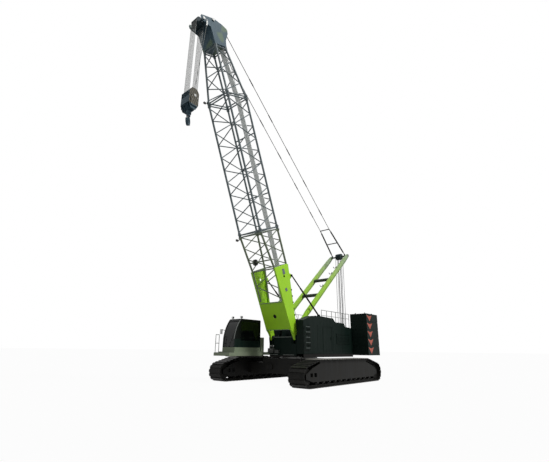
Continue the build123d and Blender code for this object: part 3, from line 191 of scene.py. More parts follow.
# ------------------------------------------------------------------- settings
class CranePaintSettings(PropertyGroup):
    lime: FloatVectorProperty(name="Lime", description="Enamel of the boom's foot section and the mast",
                              subtype="COLOR", min=0, max=1, default=linear("#93C723"))
    slate: FloatVectorProperty(name="Slate", description="Enamel of the lattice tubes",
                               subtype="COLOR", min=0, max=1, default=linear("#5A6568"))
    head: FloatVectorProperty(name="Head", description="Enamel of the boom head and the hook block",
                              subtype="COLOR", min=0, max=1, default=linear("#3C515C"))
    body: FloatVectorProperty(name="Body", description="Enamel of the houses, deck and ballast",
                              subtype="COLOR", min=0, max=1, default=linear("#0B1713"))
    olive: FloatVectorProperty(name="Olive", description="Enamel of the cab's platform",
                               subtype="COLOR", min=0, max=1, default=linear("#6F7965"))
    chevron: FloatVectorProperty(name="Chevron", description="Warning chevrons on the ballast",
                                 subtype="COLOR", min=0, max=1, default=linear("#963C25"))


class CraneRiggingSettings(PropertyGroup):
    hoist_radius: FloatProperty(name="Hoist rope radius", description="Radius of the hook's rope",
                                unit="LENGTH", min=0.005, max=0.04, default=0.014)
    luffing_radius: FloatProperty(name="Luffing rope radius", description="Radius of the mast's rope",
                                  unit="LENGTH", min=0.005, max=0.04, default=0.016)
    hoist_sheaves: IntProperty(name="Hoist sheaves", description="Sheaves in use on the hook block",
                               min=1, max=7, default=7)
    luffing_sheaves: IntProperty(name="Luffing sheaves", description="Sheaves in use on the mast head",
                                 min=2, max=6, default=4)


class CraneStageSettings(PropertyGroup):
    sun_strength: FloatProperty(name="Key light", description="Strength of the main light",
                                min=0, max=10, default=2.9)
    fill_strength: FloatProperty(name="Fill light", description="Strength of the light from the front",
                                 min=0, max=10, default=0.12)
    sky_strength: FloatProperty(name="Sky light", description="Strength of the even light from all round",
                                min=0, max=5, default=0.46)
    floor_reach: FloatProperty(name="Floor reach", description="Half the floor's side",
                               unit="LENGTH", min=20, max=2000, default=900)


# ------------------------------------------------------------------ materials
BLACK, WHITE = (0.0, 0.0, 0.0, 1.0), (1.0, 1.0, 1.0, 1.0)
# A Mix node has sockets of the same name for each kind of value; these are the ones for colours.
SHARE, FIRST, SECOND, MIXED = 0, 6, 7, 2


def add(tree, kind, inputs=None, **settings):
    """Add a node with its settings, link or fill its inputs, and give its outputs."""
    made = tree.nodes.new(f"ShaderNode{kind}")
    for name, value in settings.items():
        setattr(made, name, value)
    for socket, value in (inputs or {}).items():
        if isinstance(value, bpy.types.NodeSocket):
            tree.links.new(value, made.inputs[socket])
        else:
            made.inputs[socket].default_value = value
    return made.outputs


def blank(name):
    """Empty material, its nodes, and the Object coordinates that its patterns read."""
    material = bpy.data.materials.new(name)
    material.use_nodes = True
    tree = material.node_tree
    tree.nodes.clear()
    return material, tree, add(tree, "TexCoord")["Object"]


def coated(material, inputs):
    """Close a material with one shader that has these inputs."""
    shader = add(material.node_tree, "BsdfPrincipled", inputs)
    add(material.node_tree, "OutputMaterial", {"Surface": shader[0]})
    return material


def rgba(colour, gain=1.0):
    """Four numbers of a colour, made lighter or darker by gain."""
    return (*(min(1.0, part * gain) for part in colour), 1.0)


def hue(text, gain=1.0):
    """Four numbers of an sRGB hex value, made lighter or darker by gain."""
    return rgba(linear(text), gain)


def span(low, high, least=0.0, most=1.0):
    """Ends of a range and of what it becomes."""
    return {"From Min": low, "From Max": high, "To Min": least, "To Max": most}


def stained(tree, pattern, low, high, first, second, most=1.0, least=0.0):
    """First colour, stained by the second as a pattern goes from low to high."""
    share = add(tree, "MapRange", {"Value": pattern, **span(low, high, least, most)})[0]
    return add(tree, "Mix", {SHARE: share, FIRST: first, SECOND: second}, data_type="RGBA")[MIXED]


def enamel_coat(tree, place, colour, roughness, dust, dust_hex, low_z=0.0, high_z=3.0, gloss=0.25):
    """Weathered enamel: clouds in the colour, rain streaks, dust that gathers low down."""
    clouds = add(tree, "TexNoise", {"Vector": place, "Scale": 0.9, "Detail": 5.0})[0]
    drawn_down = add(tree, "Mapping", {"Vector": place, "Scale": (3.0, 3.0, 0.25)})[0]
    streaks = add(tree, "TexNoise", {"Vector": drawn_down, "Scale": 2.2, "Detail": 5.0})[0]
    darker = add(tree, "Mix", {SHARE: 0.10, FIRST: colour, SECOND: BLACK}, data_type="RGBA")[MIXED]
    tone = stained(tree, clouds, 0.3, 0.7, darker, colour)
    height = add(tree, "SeparateXYZ", {"Vector": place})["Z"]
    low = add(tree, "MapRange", {"Value": height, **span(low_z, high_z, 1.0, 0.25)})[0]
    dusty = add(tree, "MapRange", {"Value": streaks, **span(0.42, 0.75, 0.0, dust)})[0]
    film = add(tree, "Math", {0: dusty, 1: low}, operation="MULTIPLY")[0]
    rough = add(tree, "MapRange", {"Value": streaks, **span(0.3, 0.8, roughness, roughness + 0.22)})[0]
    # The orange peel of sprayed enamel is about 2 mm; it is drawn at 15 mm so that it shows.
    peel = add(tree, "TexNoise", {"Vector": place, "Scale": 66.0, "Detail": 2.0})[0]
    return {
        "Base Color": add(tree, "Mix", {SHARE: film, FIRST: tone, SECOND: hue(dust_hex)},
                          data_type="RGBA")[MIXED],
        "Roughness": rough,
        "Specular IOR Level": gloss,
        "Normal": add(tree, "Bump", {"Height": peel, "Strength": 0.06, "Distance": 0.002})[0],
    }


def enamel(name, colour, roughness=0.36, dust=0.35, dust_hex="#6E6A5E", low_z=0.0, high_z=3.5, gloss=0.25):
    """Polyurethane enamel sprayed on steel: an even, slightly glossy coat with site dust on it."""
    material, tree, place = blank(name)
    return coated(material, enamel_coat(tree, place, rgba(colour), roughness, dust, dust_hex,
                                        low_z, high_z, gloss))


def reach_along(tree, place, start, direction):
    """How far a place lies from a start along a direction."""
    away = add(tree, "VectorMath", {0: place, 1: tuple(start)}, operation="SUBTRACT")[0]
    return add(tree, "VectorMath", {0: away, 1: tuple(direction)}, operation="DOT_PRODUCT")["Value"]


def along_boom(tree, place):
    """Distance along the boom from its foot pins."""
    return reach_along(tree, place, BOOM_FOOT, (math.cos(BOOM_TURN), 0.0, math.sin(BOOM_TURN)))


def off_centre(tree, place):
    """Distance from the crane's middle plane."""
    return add(tree, "Math", {0: add(tree, "SeparateXYZ", {"Vector": place})["Y"]}, operation="ABSOLUTE")[0]


def foot_section_enamel(lime, slate):
    """Lime enamel on the plates of the foot section, slate on its open tubes above and between."""
    material, tree, place = blank("foot_section_enamel")
    s = along_boom(tree, place)
    below = add(tree, "MapRange", {"Value": s, **span(*PLATE_TOP_EDGE, 1.0, 0.0)})[0]
    closed = add(tree, "MapRange", {"Value": s, **span(*FRONT_PLATE_TOP_EDGE, 1.0, 0.0)})[0]
    plated = add(tree, "MapRange", {"Value": off_centre(tree, place), **span(*PLATE_INNER_EDGE)})[0]
    either = add(tree, "Math", {0: plated, 1: closed}, operation="MAXIMUM")[0]
    share = add(tree, "Math", {0: below, 1: either}, operation="MULTIPLY")[0]
    open_part = stained(tree, s, *FOOT_SECTION_TOP_EDGE, hue("#646F5B"), rgba(slate))
    colour = add(tree, "Mix", {SHARE: share, FIRST: open_part, SECOND: rgba(lime)}, data_type="RGBA")[MIXED]
    return coated(material, enamel_coat(tree, place, colour, 0.34, 0.16, "#66704A", 2.5, 9.0))


def mast_enamel(lime):
    """Lime enamel that sun and rope grease have bleached towards the mast's head; dark cross tubes; painted
    shade on the lower strip of the legs' sides.
    """
    material, tree, place = blank("mast_enamel")
    along = MAST_HEAD - MAST_FOOT
    share = reach_along(tree, place, MAST_FOOT, along / along.length_squared)
    depth = reach_along(tree, place, MAST_FOOT, Vector((along.z, 0.0, -along.x)).normalized())
    clouds = add(tree, "TexNoise", {"Vector": place, "Scale": 3.0, "Detail": 5.0})[0]
    uneven = add(tree, "MapRange", {"Value": clouds, **span(0.3, 0.7, -0.12, 0.12)})[0]
    worn = add(tree, "Math", {0: share, 1: uneven}, operation="ADD")[0]
    tone = stained(tree, worn, 0.20, 0.75, rgba(lime), hue("#93AB55"), 0.6)
    tone = stained(tree, worn, 0.55, 0.95, tone, hue("#93A58C"), 0.85)
    # Painted shade: the lower strip of each leg's side, the web between its flanges, is mixed towards dark
    # olive.
    shade = add(tree, "Mix", {SHARE: 0.42, FIRST: tone, SECOND: hue("#3F4A30")}, data_type="RGBA")[MIXED]
    legs = stained(tree, depth, *MAST_WEB_SHADE_EDGE, shade, tone)
    colour = stained(tree, off_centre(tree, place), *MAST_LEG_INNER_EDGE, hue("#2F3C2B"), legs)
    return coated(material, enamel_coat(tree, place, colour, 0.36, 0.22, "#5C6152", 3.5, 12.0))


def cab_enamel(name, body, olive, pillar):
    """Two enamels on the cab, olive to the sill and dark green above, and a third on its near pillar."""
    material, tree, place = blank(name)
    split = add(tree, "SeparateXYZ", {"Vector": place})
    above_belt = add(tree, "MapRange", {"Value": split["Z"], **span(*CAB_BELT_EDGE)})[0]
    near = add(tree, "MapRange", {"Value": split["Y"], **span(*CAB_PILLAR_EDGE)})[0]
    share = add(tree, "Math", {0: above_belt, 1: near}, operation="MULTIPLY")[0]
    dark = add(tree, "Mix", {SHARE: above_belt, FIRST: rgba(body, 1.3), SECOND: hue("#0B0F0E")},
               data_type="RGBA")[MIXED]
    upper = add(tree, "Mix", {SHARE: share, FIRST: dark, SECOND: rgba(pillar)}, data_type="RGBA")[MIXED]
    colour = stained(tree, split["Z"], *CAB_SILL_EDGE, rgba(olive), upper)
    return coated(material, enamel_coat(tree, place, colour, 0.30, 0.10, "#3E4039", 1.8, 4.0, 0.12))


def head_enamel(slate):
    """Slate enamel of the boom head, touched up in large patches of olive primer."""
    material, tree, place = blank("head_enamel")
    patches = add(tree, "TexNoise", {"Vector": place, "Scale": 0.75, "Detail": 1.0})[0]
    colour = stained(tree, patches, 0.50, 0.56, rgba(slate), hue("#5D6F57"), 0.8)
    return coated(material, enamel_coat(tree, place, colour, 0.40, 0.14, "#5E6A6C", 14.0, 24.0, 0.15))


def block_enamel(slate):
    """Slate enamel of the hook block, its cheeks striped aslant in olive and near-black."""
    material, tree, place = blank("hook_block_enamel")
    slant = add(tree, "VectorMath", {0: place, 1: BLOCK_STRIPE_SLANT}, operation="DOT_PRODUCT")["Value"]
    turn = add(tree, "Math", {0: slant, 1: 2 * math.pi / BLOCK_STRIPE_PITCH}, operation="MULTIPLY")[0]
    wave = add(tree, "Math", {0: turn}, operation="SINE")[0]
    stripes = stained(tree, wave, -0.15, 0.15, hue("#5E5848"), hue("#262826"))
    height = add(tree, "SeparateXYZ", {"Vector": place})["Z"]
    high = add(tree, "MapRange", {"Value": height, **span(*BLOCK_STRIPE_EDGE)})[0]
    cheek = add(tree, "MapRange", {"Value": off_centre(tree, place), **span(*BLOCK_CHEEK_EDGE)})[0]
    share = add(tree, "Math", {0: cheek, 1: high}, operation="MULTIPLY")[0]
    colour = add(tree, "Mix", {SHARE: share, FIRST: rgba(slate, 0.8), SECOND: stripes},
                 data_type="RGBA")[MIXED]
    return coated(material, enamel_coat(tree, place, colour, 0.42, 0.12, "#4E5A5E", 13.0, 18.0, 0.15))


def ladder_enamel(body, rail):
    """Dark green stiles with rungs that boots have worn to grey."""
    material, tree, place = blank("ladder_enamel")
    x = add(tree, "SeparateXYZ", {"Vector": place})["X"]
    offset = add(tree, "Math", {0: x, 1: LADDER_X}, operation="SUBTRACT")[0]
    aside = add(tree, "Math", {0: offset}, operation="ABSOLUTE")[0]
    colour = stained(tree, aside, *RUNG_END_EDGE, rgba(rail), rgba(body, 1.4))
    return coated(material, enamel_coat(tree, place, colour, 0.45, 0.15, "#6E706A", 1.8, 3.6, 0.15))


def cast_track_steel():
    """Cast manganese steel of the shoes and wheels: dull and dark, rubbed bright in specks, with painted
    highlights along the shoes' top and bottom edges.
    """
    material, tree, place = blank("cast_track_steel")
    # Casting skin of 1 to 3 mm grain, drawn at 25 mm so that it shows.
    grain = add(tree, "TexNoise", {"Vector": place, "Scale": 38.0, "Detail": 6.0})[0]
    patches = add(tree, "TexNoise", {"Vector": place, "Scale": 3.2, "Detail": 6.0})[0]
    dark = stained(tree, patches, 0.35, 0.7, hue("#121211"), hue("#1D1C1A"))
    rubbed = stained(tree, grain, 0.60, 0.74, dark, hue("#4E4D49"), 0.6)
    height = add(tree, "SeparateXYZ", {"Vector": place})["Z"]
    # Painted highlights: the shoes' top edges and their bottom edges by the ground are mixed towards pale
    # grey where they catch the light; the worn share below is this painted highlight.
    above = add(tree, "MapRange", {"Value": height, **span(*SHOE_TOP_GLINT_EDGE, 0.0, 0.8)})[0]
    foot_glint = add(tree, "MapRange", {"Value": height, **span(*SHOE_FOOT_GLINT_EDGE, 0.5, 0.0)})[0]
    worn = add(tree, "Math", {0: above, 1: foot_glint}, operation="MAXIMUM")[0]
    return coated(material, {
        "Base Color": add(tree, "Mix", {SHARE: worn, FIRST: rubbed, SECOND: hue("#8E8C86")},
                          data_type="RGBA")[MIXED],
        "Metallic": 0.5,
        "Roughness": add(tree, "MapRange", {"Value": grain, **span(0.35, 0.65, 0.72, 0.42)})[0],
        "Specular IOR Level": 0.15,
        "Normal": add(tree, "Bump", {"Height": grain, "Strength": 0.45, "Distance": 0.004})[0],
    })


def bare_steel(name, hex_text, roughness, scale, stretch, relief):
    """Bare steel: a metal shine, broken by stains and by the fine marks of its tool or its mould."""
    material, tree, place = blank(name)
    # Marks finer than 1 mm are drawn at 5 to 45 mm so that they show.
    drawn = add(tree, "Mapping", {"Vector": place, "Scale": stretch})[0]
    grain = add(tree, "TexNoise", {"Vector": drawn, "Scale": scale, "Detail": 5.0})[0]
    stains = add(tree, "TexNoise", {"Vector": place, "Scale": 1.8, "Detail": 5.0})[0]
    base = stained(tree, stains, 0.35, 0.75, hue(hex_text), hue(hex_text, 0.45), 0.45)
    rough = add(tree, "MapRange", {"Value": grain, **span(0.3, 0.7, roughness, roughness + 0.2)})[0]
    return coated(material, {
        "Base Color": stained(tree, grain, 0.4, 0.7, base, hue("#2B2A27"), 0.3),
        "Metallic": 0.85,
        "Roughness": rough,
        "Normal": add(tree, "Bump", {"Height": grain, "Strength": relief, "Distance": 0.002})[0],
    })


def strand_steel(name, hex_text):
    """Galvanised wire rope: slanting outer strands, darker in the lines between them, with patches of
    grease.
    """
    material, tree, place = blank(name)
    # A 28 mm rope shows a strand every 30 mm of its length, drawn every 90 mm so that they show.
    bands = add(tree, "TexWave", {"Vector": place, "Scale": 7.0, "Distortion": 0.4, "Detail": 1.0},
                bands_direction="DIAGONAL")["Fac"]
    grease = add(tree, "TexNoise", {"Vector": place, "Scale": 1.5, "Detail": 4.0})[0]
    wire = stained(tree, grease, 0.35, 0.7, hue(hex_text), hue("#3E403E"), 0.5)
    return coated(material, {
        "Base Color": stained(tree, bands, 0.0, 0.5, wire, hue("#242523"), 0.0, 0.45),
        "Metallic": 0.6,
        "Roughness": 0.48,
        "Normal": add(tree, "Bump", {"Height": bands, "Strength": 0.4, "Distance": 0.003})[0],
    })


def walkway_grating():
    """Hot-dip galvanised bar grating: bright spangled zinc, a shade greyer between the bars."""
    material, tree, place = blank("galvanised_grating")
    y = add(tree, "SeparateXYZ", {"Vector": place})["Y"]
    plane = add(tree, "CombineXYZ", {"X": along_boom(tree, place), "Y": y})[0]
    # Bars 30 mm apart would vanish, so the openings are drawn 60 mm long.
    mesh = add(tree, "TexBrick",
               {"Vector": plane, "Scale": 8.0, "Mortar Size": 0.035, "Mortar Smooth": 0.2,
                "Brick Width": 0.5, "Row Height": 0.28, "Color1": hue("#D6DAD7"),
                "Color2": hue("#B2B7B4"), "Mortar": hue("#F2F4F2")}, offset=0.5, squash=1.0)
    # Zinc spangle of 10 mm is drawn at 110 mm so that it shows.
    spangle = add(tree, "TexNoise", {"Vector": place, "Scale": 9.0, "Detail": 6.0})[0]
    return coated(material, {
        "Base Color": stained(tree, spangle, 0.42, 0.62, mesh["Color"], hue("#C2C6C3"), 0.6),
        "Metallic": 0.15,
        "Roughness": 0.55,
        "Normal": add(tree, "Bump", {"Height": mesh["Fac"], "Strength": 0.5, "Distance": 0.006})[0],
    })


def tinted_glass():
    """Laminated safety glass with a grey-green tint: dark from outside, with a thin dust film."""
    material, tree, place = blank("tinted_safety_glass")
    film = add(tree, "TexNoise", {"Vector": place, "Scale": 2.5, "Detail": 4.0})[0]
    return coated(material, {
        "Base Color": stained(tree, film, 0.45, 0.8, hue("#101615"), hue("#2A302D"), 0.2),
        "Roughness": add(tree, "MapRange", {"Value": film, **span(0.4, 0.8, 0.05, 0.20)})[0],
        "Transmission Weight": 0.45,
        "IOR": 1.5,
        "Specular IOR Level": 0.08,
    })


def lamp_glass():
    """Ribbed clear lens over a bright reflector."""
    material, tree, place = blank("ribbed_lamp_lens")
    # Ribs 10 mm apart are drawn 45 mm apart so that they show.
    ribs = add(tree, "TexWave", {"Vector": place, "Scale": 14.0}, bands_direction="Y")["Fac"]
    return coated(material, {
        "Base Color": add(tree, "Mix", {SHARE: ribs, FIRST: hue("#C9CDCB"), SECOND: hue("#F1F3F2")},
                          data_type="RGBA")[MIXED],
        "Roughness": 0.12,
        "Coat Weight": 1.0,
        "Normal": add(tree, "Bump", {"Height": ribs, "Strength": 0.4, "Distance": 0.002})[0],
    })


def moulded_plastic():
    """Black moulded plastic and rubber: fine leather grain, no shine."""
    material, tree, place = blank("moulded_black_plastic")
    # Leather grain of 1 mm is drawn at 8 mm so that it shows.
    grain = add(tree, "TexVoronoi", {"Vector": place, "Scale": 130.0})["Distance"]
    return coated(material, {
        "Base Color": stained(tree, grain, 0.0, 0.6, hue("#161717"), hue("#262727")),
        "Roughness": 0.62,
        "Normal": add(tree, "Bump", {"Height": grain, "Strength": 0.3, "Distance": 0.001})[0],
    })


def woven_seat_cloth():
    """Dark grey woven polyester: crossing threads, a soft sheen at grazing angles."""
    material, tree, place = blank("woven_seat_cloth")
    # Threads of 1.5 mm are drawn 8 mm wide so that they show.
    warp, weft = (add(tree, "TexWave", {"Vector": place, "Scale": 40.0}, bands_direction=way)["Fac"]
                  for way in "XY")
    weave = add(tree, "Math", {0: warp, 1: weft}, operation="MULTIPLY")[0]
    return coated(material, {
        "Base Color": add(tree, "Mix", {SHARE: weave, FIRST: hue("#1B1C1E"), SECOND: hue("#3A3B3E")},
                          data_type="RGBA")[MIXED],
        "Roughness": 0.9,
        "Sheen Weight": 0.4,
        "Normal": add(tree, "Bump", {"Height": weave, "Strength": 0.5, "Distance": 0.002})[0],
    })


def chevron_paint(colour):
    """Orange sign paint, brushed on, dulled and a little chalky."""
    material, tree, place = blank("chevron_paint")
    # Brush marks of 2 mm are drawn 30 mm high so that they show.
    brushed = add(tree, "Mapping", {"Vector": place, "Scale": (1.0, 1.0, 5.0)})[0]
    strokes = add(tree, "TexNoise", {"Vector": brushed, "Scale": 6.0, "Detail": 5.0})[0]
    return coated(material, {
        "Base Color": stained(tree, strokes, 0.35, 0.75, rgba(colour), hue("#7C3A26"), 0.35),
        "Roughness": 0.5,
        "Normal": add(tree, "Bump", {"Height": strokes, "Strength": 0.1, "Distance": 0.001})[0],
    })


def heat_stained_steel():
    """Exhaust steel: soot at the mouth, brown and blue heat stain below."""
    material, tree, place = blank("heat_stained_steel")
    clouds = add(tree, "TexNoise", {"Vector": place, "Scale": 7.0, "Detail": 5.0})[0]
    stain = stained(tree, clouds, 0.35, 0.65, hue("#5B4A3C"), hue("#4B4E52"))
    height = add(tree, "SeparateXYZ", {"Vector": place})["Z"]
    return coated(material, {
        "Base Color": stained(tree, height, *EXHAUST_SOOT_EDGE, stain, hue("#1A1918")),
        "Metallic": 0.6,
        "Roughness": 0.6,
        "Normal": add(tree, "Bump", {"Height": clouds, "Strength": 0.2, "Distance": 0.002})[0],
    })


def seen_rays(tree):
    """One for rays from the camera, a gloss or a glass, and nought for the light that falls on things."""
    rays = add(tree, "LightPath")
    bent = add(tree, "Math", {0: rays["Is Glossy Ray"], 1: rays["Is Transmission Ray"]}, operation="ADD")[0]
    return add(tree, "Math", {0: rays["Is Camera Ray"], 1: bent}, operation="ADD", use_clamp=True)[0]


def floor_finish():
    """Matt white studio floor: as white as the backdrop, but for the crane's soft shadow."""
    material, tree, place = blank("matt_studio_floor")
    faint = add(tree, "TexNoise", {"Vector": place, "Scale": 0.4, "Detail": 3.0})[0]
    grey = add(tree, "Mix", {SHARE: faint, FIRST: hue("#9A9A9A"), SECOND: hue("#A0A0A0")},
               data_type="RGBA")[MIXED]
    matt = add(tree, "BsdfPrincipled", {"Base Color": grey, "Roughness": 0.95})[0]
    glow = add(tree, "Emission", {"Color": WHITE, "Strength": 1.0})[0]
    share = add(tree, "Math", {0: seen_rays(tree), 1: FLOOR_GLOW}, operation="MULTIPLY")[0]
    add(tree, "OutputMaterial", {"Surface": add(tree, "MixShader", {0: share, 1: matt, 2: glow})[0]})
    return material


MATERIALS = {}


def make_materials(paint):
    """Every finish by name."""
    MATERIALS.update({
        "body": enamel("body_enamel", paint.body, 0.40, 0.08, "#2C332D", gloss=0.07),
        "ballast": enamel("ballast_enamel", paint.body, 0.50, 0.06, "#262C28", gloss=0.10),
        "cab": cab_enamel("cab_enamel", paint.body, paint.olive, linear("#0B0F0E")),
        "black": enamel("chassis_enamel", linear("#151514"), 0.50, 0.30, "#35322C", 0.0, 2.2, 0.12),
        "olive": enamel("olive_enamel", paint.olive, 0.42, 0.30, "#7A7868", 1.5, 3.2),
        "slate": enamel("lattice_enamel", paint.slate, 0.38, 0.18, "#7E8583", 8.0, 26.0),
        "head": head_enamel(paint.head),
        "block": block_enamel(paint.head),
        "ladder": ladder_enamel(paint.body, linear("#4A504E")),
        "rail": enamel("rail_enamel", linear("#6E7370"), 0.40, 0.20, "#8D8B80", 1.5, 6.0),
        "foot": foot_section_enamel(paint.lime, paint.slate),
        "mast": mast_enamel(paint.lime),
        "pillar": cab_enamel("pillar_enamel", paint.body, paint.olive, linear("#989E98")),
        "track": cast_track_steel(),
        "machined": bare_steel("machined_steel", "#8B8C8A", 0.28, 22.0, (1.0, 8.0, 1.0), 0.15),
        "sheave": enamel("sheave_enamel", linear("#2B383D"), 0.50, 0.20, "#4C5457", 0.0, 24.0, 0.12),
        "chrome": bare_steel("ground_rod_steel", "#B9BBB9", 0.16, 30.0, (1.0, 1.0, 1.0), 0.05),
        "iron": bare_steel("rough_cast_iron", "#4E504E", 0.62, 30.0, (1.0, 1.0, 1.0), 0.4),
        "rope": strand_steel("galvanised_wire_rope", "#707371"),
        "luffing": strand_steel("greased_luffing_rope", "#2E3030"),
        "stay": strand_steel("greased_stay_rope", "#1E2222"),
        "grating": walkway_grating(),
        "glass": tinted_glass(),
        "lens": lamp_glass(),
        "plastic": moulded_plastic(),
        "cloth": woven_seat_cloth(),
        "chevron": chevron_paint(paint.chevron),
        "exhaust": heat_stained_steel(),
    })


NODE_FINISH = {
    "black": ("carbody", "track_frames", "backstop_barrels"),
    "machined": ("slew_ring", "rope_socket"),
    "track": ("track_left", "track_right", "idlers", "sprockets", "track_rollers"),
    "body": ("deck_frame", "house_left", "house_right", "house_door_left", "house_door_right",
             "backstop_rods"),
    "ballast": ("counterweight_tray", "counterweight_stacks"),
    "cab": ("cab_floor", "cab_rear_wall", "cab_roof", "cab_left_wall", "cab_right_wall", "cab_door"),
    "pillar": ("cab_front_frame",),
    "olive": ("cab_platform",),
    "rail": ("handrails", "platform_rail"),
    "ladder": ("side_ladder",),
    "glass": ("cab_glass", "cab_door_glass"),
    "plastic": ("cab_console", "lamps_and_mirrors", "cab_seat"),
    "iron": ("engine_block",),
    "exhaust": ("exhaust_stack",),
    "rope": ("main_winch_drum", "aux_winch_drum", "luffing_winch_drum"),
    "foot": ("boom_butt",),
    "slate": ("boom_insert", "boom_top"),
    "head": ("boom_head", "luffing_block"),
    "block": ("hook_block", "hook"),
    "sheave": ("head_sheaves", "mast_sheaves", "hook_block_sheaves"),
    "grating": ("boom_walkway",),
    "stay": ("pendants",),
    "mast": ("mast_frame",),
}


# ----------------------------------------------------------------- mesh tools
SIDES = (-1, 1)
CORNERS = ((-1, -1), (1, -1), (1, 1), (-1, 1))


def add_box(bm, low, high, bevel=0.0, turn=None):
    """Box between two corners, turned about its middle and with bevelled edges."""
    low, high = Vector(low), Vector(high)
    matrix = Matrix.Translation((low + high) / 2)
    if turn is not None:
        matrix = matrix @ turn.to_4x4()
    matrix = matrix @ Matrix.Diagonal((*(high - low), 1.0))
    verts = bmesh.ops.create_cube(bm, size=1.0, matrix=matrix)["verts"]
    if bevel:
        edges = {edge for vert in verts for edge in vert.link_edges}
        bmesh.ops.bevel(bm, geom=list(edges), offset=bevel, offset_type="OFFSET", segments=2,
                        profile=0.5, affect="EDGES", material=-1)


def add_bar(bm, start, end, radius, sides=10):
    """Round bar between two points, with one ring of corners at each end."""
    start, end = Vector(start), Vector(end)
    axis = end - start
    turn = axis.to_track_quat("Z", "Y").to_matrix().to_4x4()
    bmesh.ops.create_cone(bm, cap_ends=True, segments=sides, radius1=radius, radius2=radius,
                          depth=axis.length, matrix=Matrix.Translation((start + end) / 2) @ turn)


def add_boom_bar(bm, start, end, radius, sides=10):
    """Round bar between two places of the boom, each given as s, y and n."""
    add_bar(bm, on_boom(*start), on_boom(*end), radius, sides)


def add_cap(bm, centre, push, radius, sides=20):
    """Disc that stands out from a face along Y by a signed thickness."""
    add_bar(bm, centre, Vector(centre) + Vector((0.0, push, 0.0)), radius, sides)


def add_bolt_circle(bm, centre, push, ring, count, radius):
    """Six-sided bolt heads in a circle, pushed out along Y, or along Z where push says so."""
    centre, push = Vector(centre), Vector(push)
    second = Vector((0, 1, 0)) if push.z else Vector((0, 0, 1))
    for number in range(count):
        angle = number * 2 * math.pi / count
        spot = centre + ring * (math.cos(angle) * Vector((1, 0, 0)) + math.sin(angle) * second)
        add_bar(bm, spot, spot + push, radius, 6)


def add_wall_box(bm, y, push, x_span, z_span, bevel=0.0):
    """Box that stands out from an upright wall at y by a signed thickness."""
    add_box(bm, (x_span[0], min(y, y + push), z_span[0]), (x_span[1], max(y, y + push), z_span[1]), bevel)


def add_plate(bm, points, push):
    """Flat outline pushed to a thickness."""
    face = bm.faces.new([bm.verts.new(point) for point in points])
    made = bmesh.ops.extrude_face_region(bm, geom=[face])["geom"]
    bmesh.ops.translate(bm, vec=Vector(push),
                        verts=[part for part in made if isinstance(part, bmesh.types.BMVert)])


def add_ring(bm, centre, axis, radius, bar, steps=24, sides=6, angle=2 * math.pi, start=None):
    """Round bar bent to a ring or an arc about an axis."""
    axis = Vector(axis).normalized()
    out = Vector(start).normalized() if start is not None else axis.orthogonal().normalized()
    across = axis.cross(out)
    turn = Matrix((out, axis, across)).transposed().to_4x4()
    circle = bmesh.ops.create_circle(bm, segments=sides, radius=bar,
                                     matrix=Matrix.Translation(Vector(centre) + out * radius) @ turn)
    verts = circle["verts"]
    edges = list({edge for vert in verts for edge in vert.link_edges})
    whole = abs(angle - 2 * math.pi) < 1e-6
    bmesh.ops.spin(bm, geom=verts + edges, cent=Vector(centre), axis=axis, angle=angle, steps=steps,
                   use_merge=whole)


def finish_piece(name, bm, finish, body=None, smooth=False):
    """Turn a bmesh into a named piece with its finish, riding on a body where one is given."""
    bmesh.ops.recalc_face_normals(bm, faces=bm.faces)
    mesh = bpy.data.meshes.new(name)
    bm.to_mesh(mesh)
    bm.free()
    if smooth:
        mesh.shade_smooth()
    mesh.materials.append(MATERIALS[finish])
    piece = bpy.data.objects.new(name, mesh)
    bpy.context.scene.collection.objects.link(piece)
    if body:
        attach(piece, body)
    return piece


class CraneOperator:
    """Shared by the crane's operators."""
    bl_options = {"REGISTER", "UNDO"}


# ---------------------------------------------------------------------- paint
class CRANE_OT_paint(CraneOperator, Operator):
    """Give every CAD piece its finish"""
    bl_idname = "crane.paint"
    bl_label = "Paint the crane"

    def execute(self, context):
        make_materials(context.scene.crane_paint)
        for finish, names in NODE_FINISH.items():
            for name in names:
                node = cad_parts[name]
                node.data.materials.clear()
                node.data.materials.append(MATERIALS[finish])
        return {"FINISHED"}


# ------------------------------------------------------------------ rigging
def hoist_falls(rig):
    """Falls between the head sheaves and the hook block, and the rope's dead end at its socket."""
    bm = bmesh.new()
    top, bottom = FALLS_AXLE.z, BLOCK_AXLE_Z
    for number in range(rig.hoist_sheaves):
        y = (number - (rig.hoist_sheaves - 1) / 2) * SHEAVE_PITCH
        for side in SIDES:
            x = FALLS_AXLE.x + side * SHEAVE_GROOVE_RADIUS
            add_bar(bm, (x, y, top), (x, y, bottom), rig.hoist_radius, 8)
    socket_low, socket_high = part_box("rope_socket")
    socket = (socket_low + socket_high) / 2
    add_bar(bm, (socket.x, socket.y, socket_low.z + 0.05), (FALLS_AXLE.x, DEAD_END_Y, bottom),
            rig.hoist_radius, 8)
    falls = finish_piece("hoist_falls", bm, "rope")
    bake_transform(falls)


def hoist_line_to_boom(rig):
    """Hoist rope from its winch to the first roller on the boom."""
    bm = bmesh.new()
    drum = Vector((WINCHES[0][1] + 0.34, ROPE_LANE_Y, WINCH_Z + 0.18))
    roller = on_boom(HOIST_STOPS[0][0], ROPE_LANE_Y, HOIST_STOPS[0][1])
    add_bar(bm, drum, roller, rig.hoist_radius, 8)
    low_line = finish_piece("hoist_line_to_boom", bm, "rope")
    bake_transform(low_line)


def hoist_line_on_boom(rig):
    """Hoist rope up the boom's back and round the head."""
    bm = bmesh.new()
    for (s0, n0), (s1, n1) in zip(HOIST_STOPS, HOIST_STOPS[1:]):
        add_boom_bar(bm, (s0, ROPE_LANE_Y, n0), (s1, ROPE_LANE_Y, n1), rig.hoist_radius, 8)
    finish_piece("hoist_line_on_boom", bm, "rope", "boom")


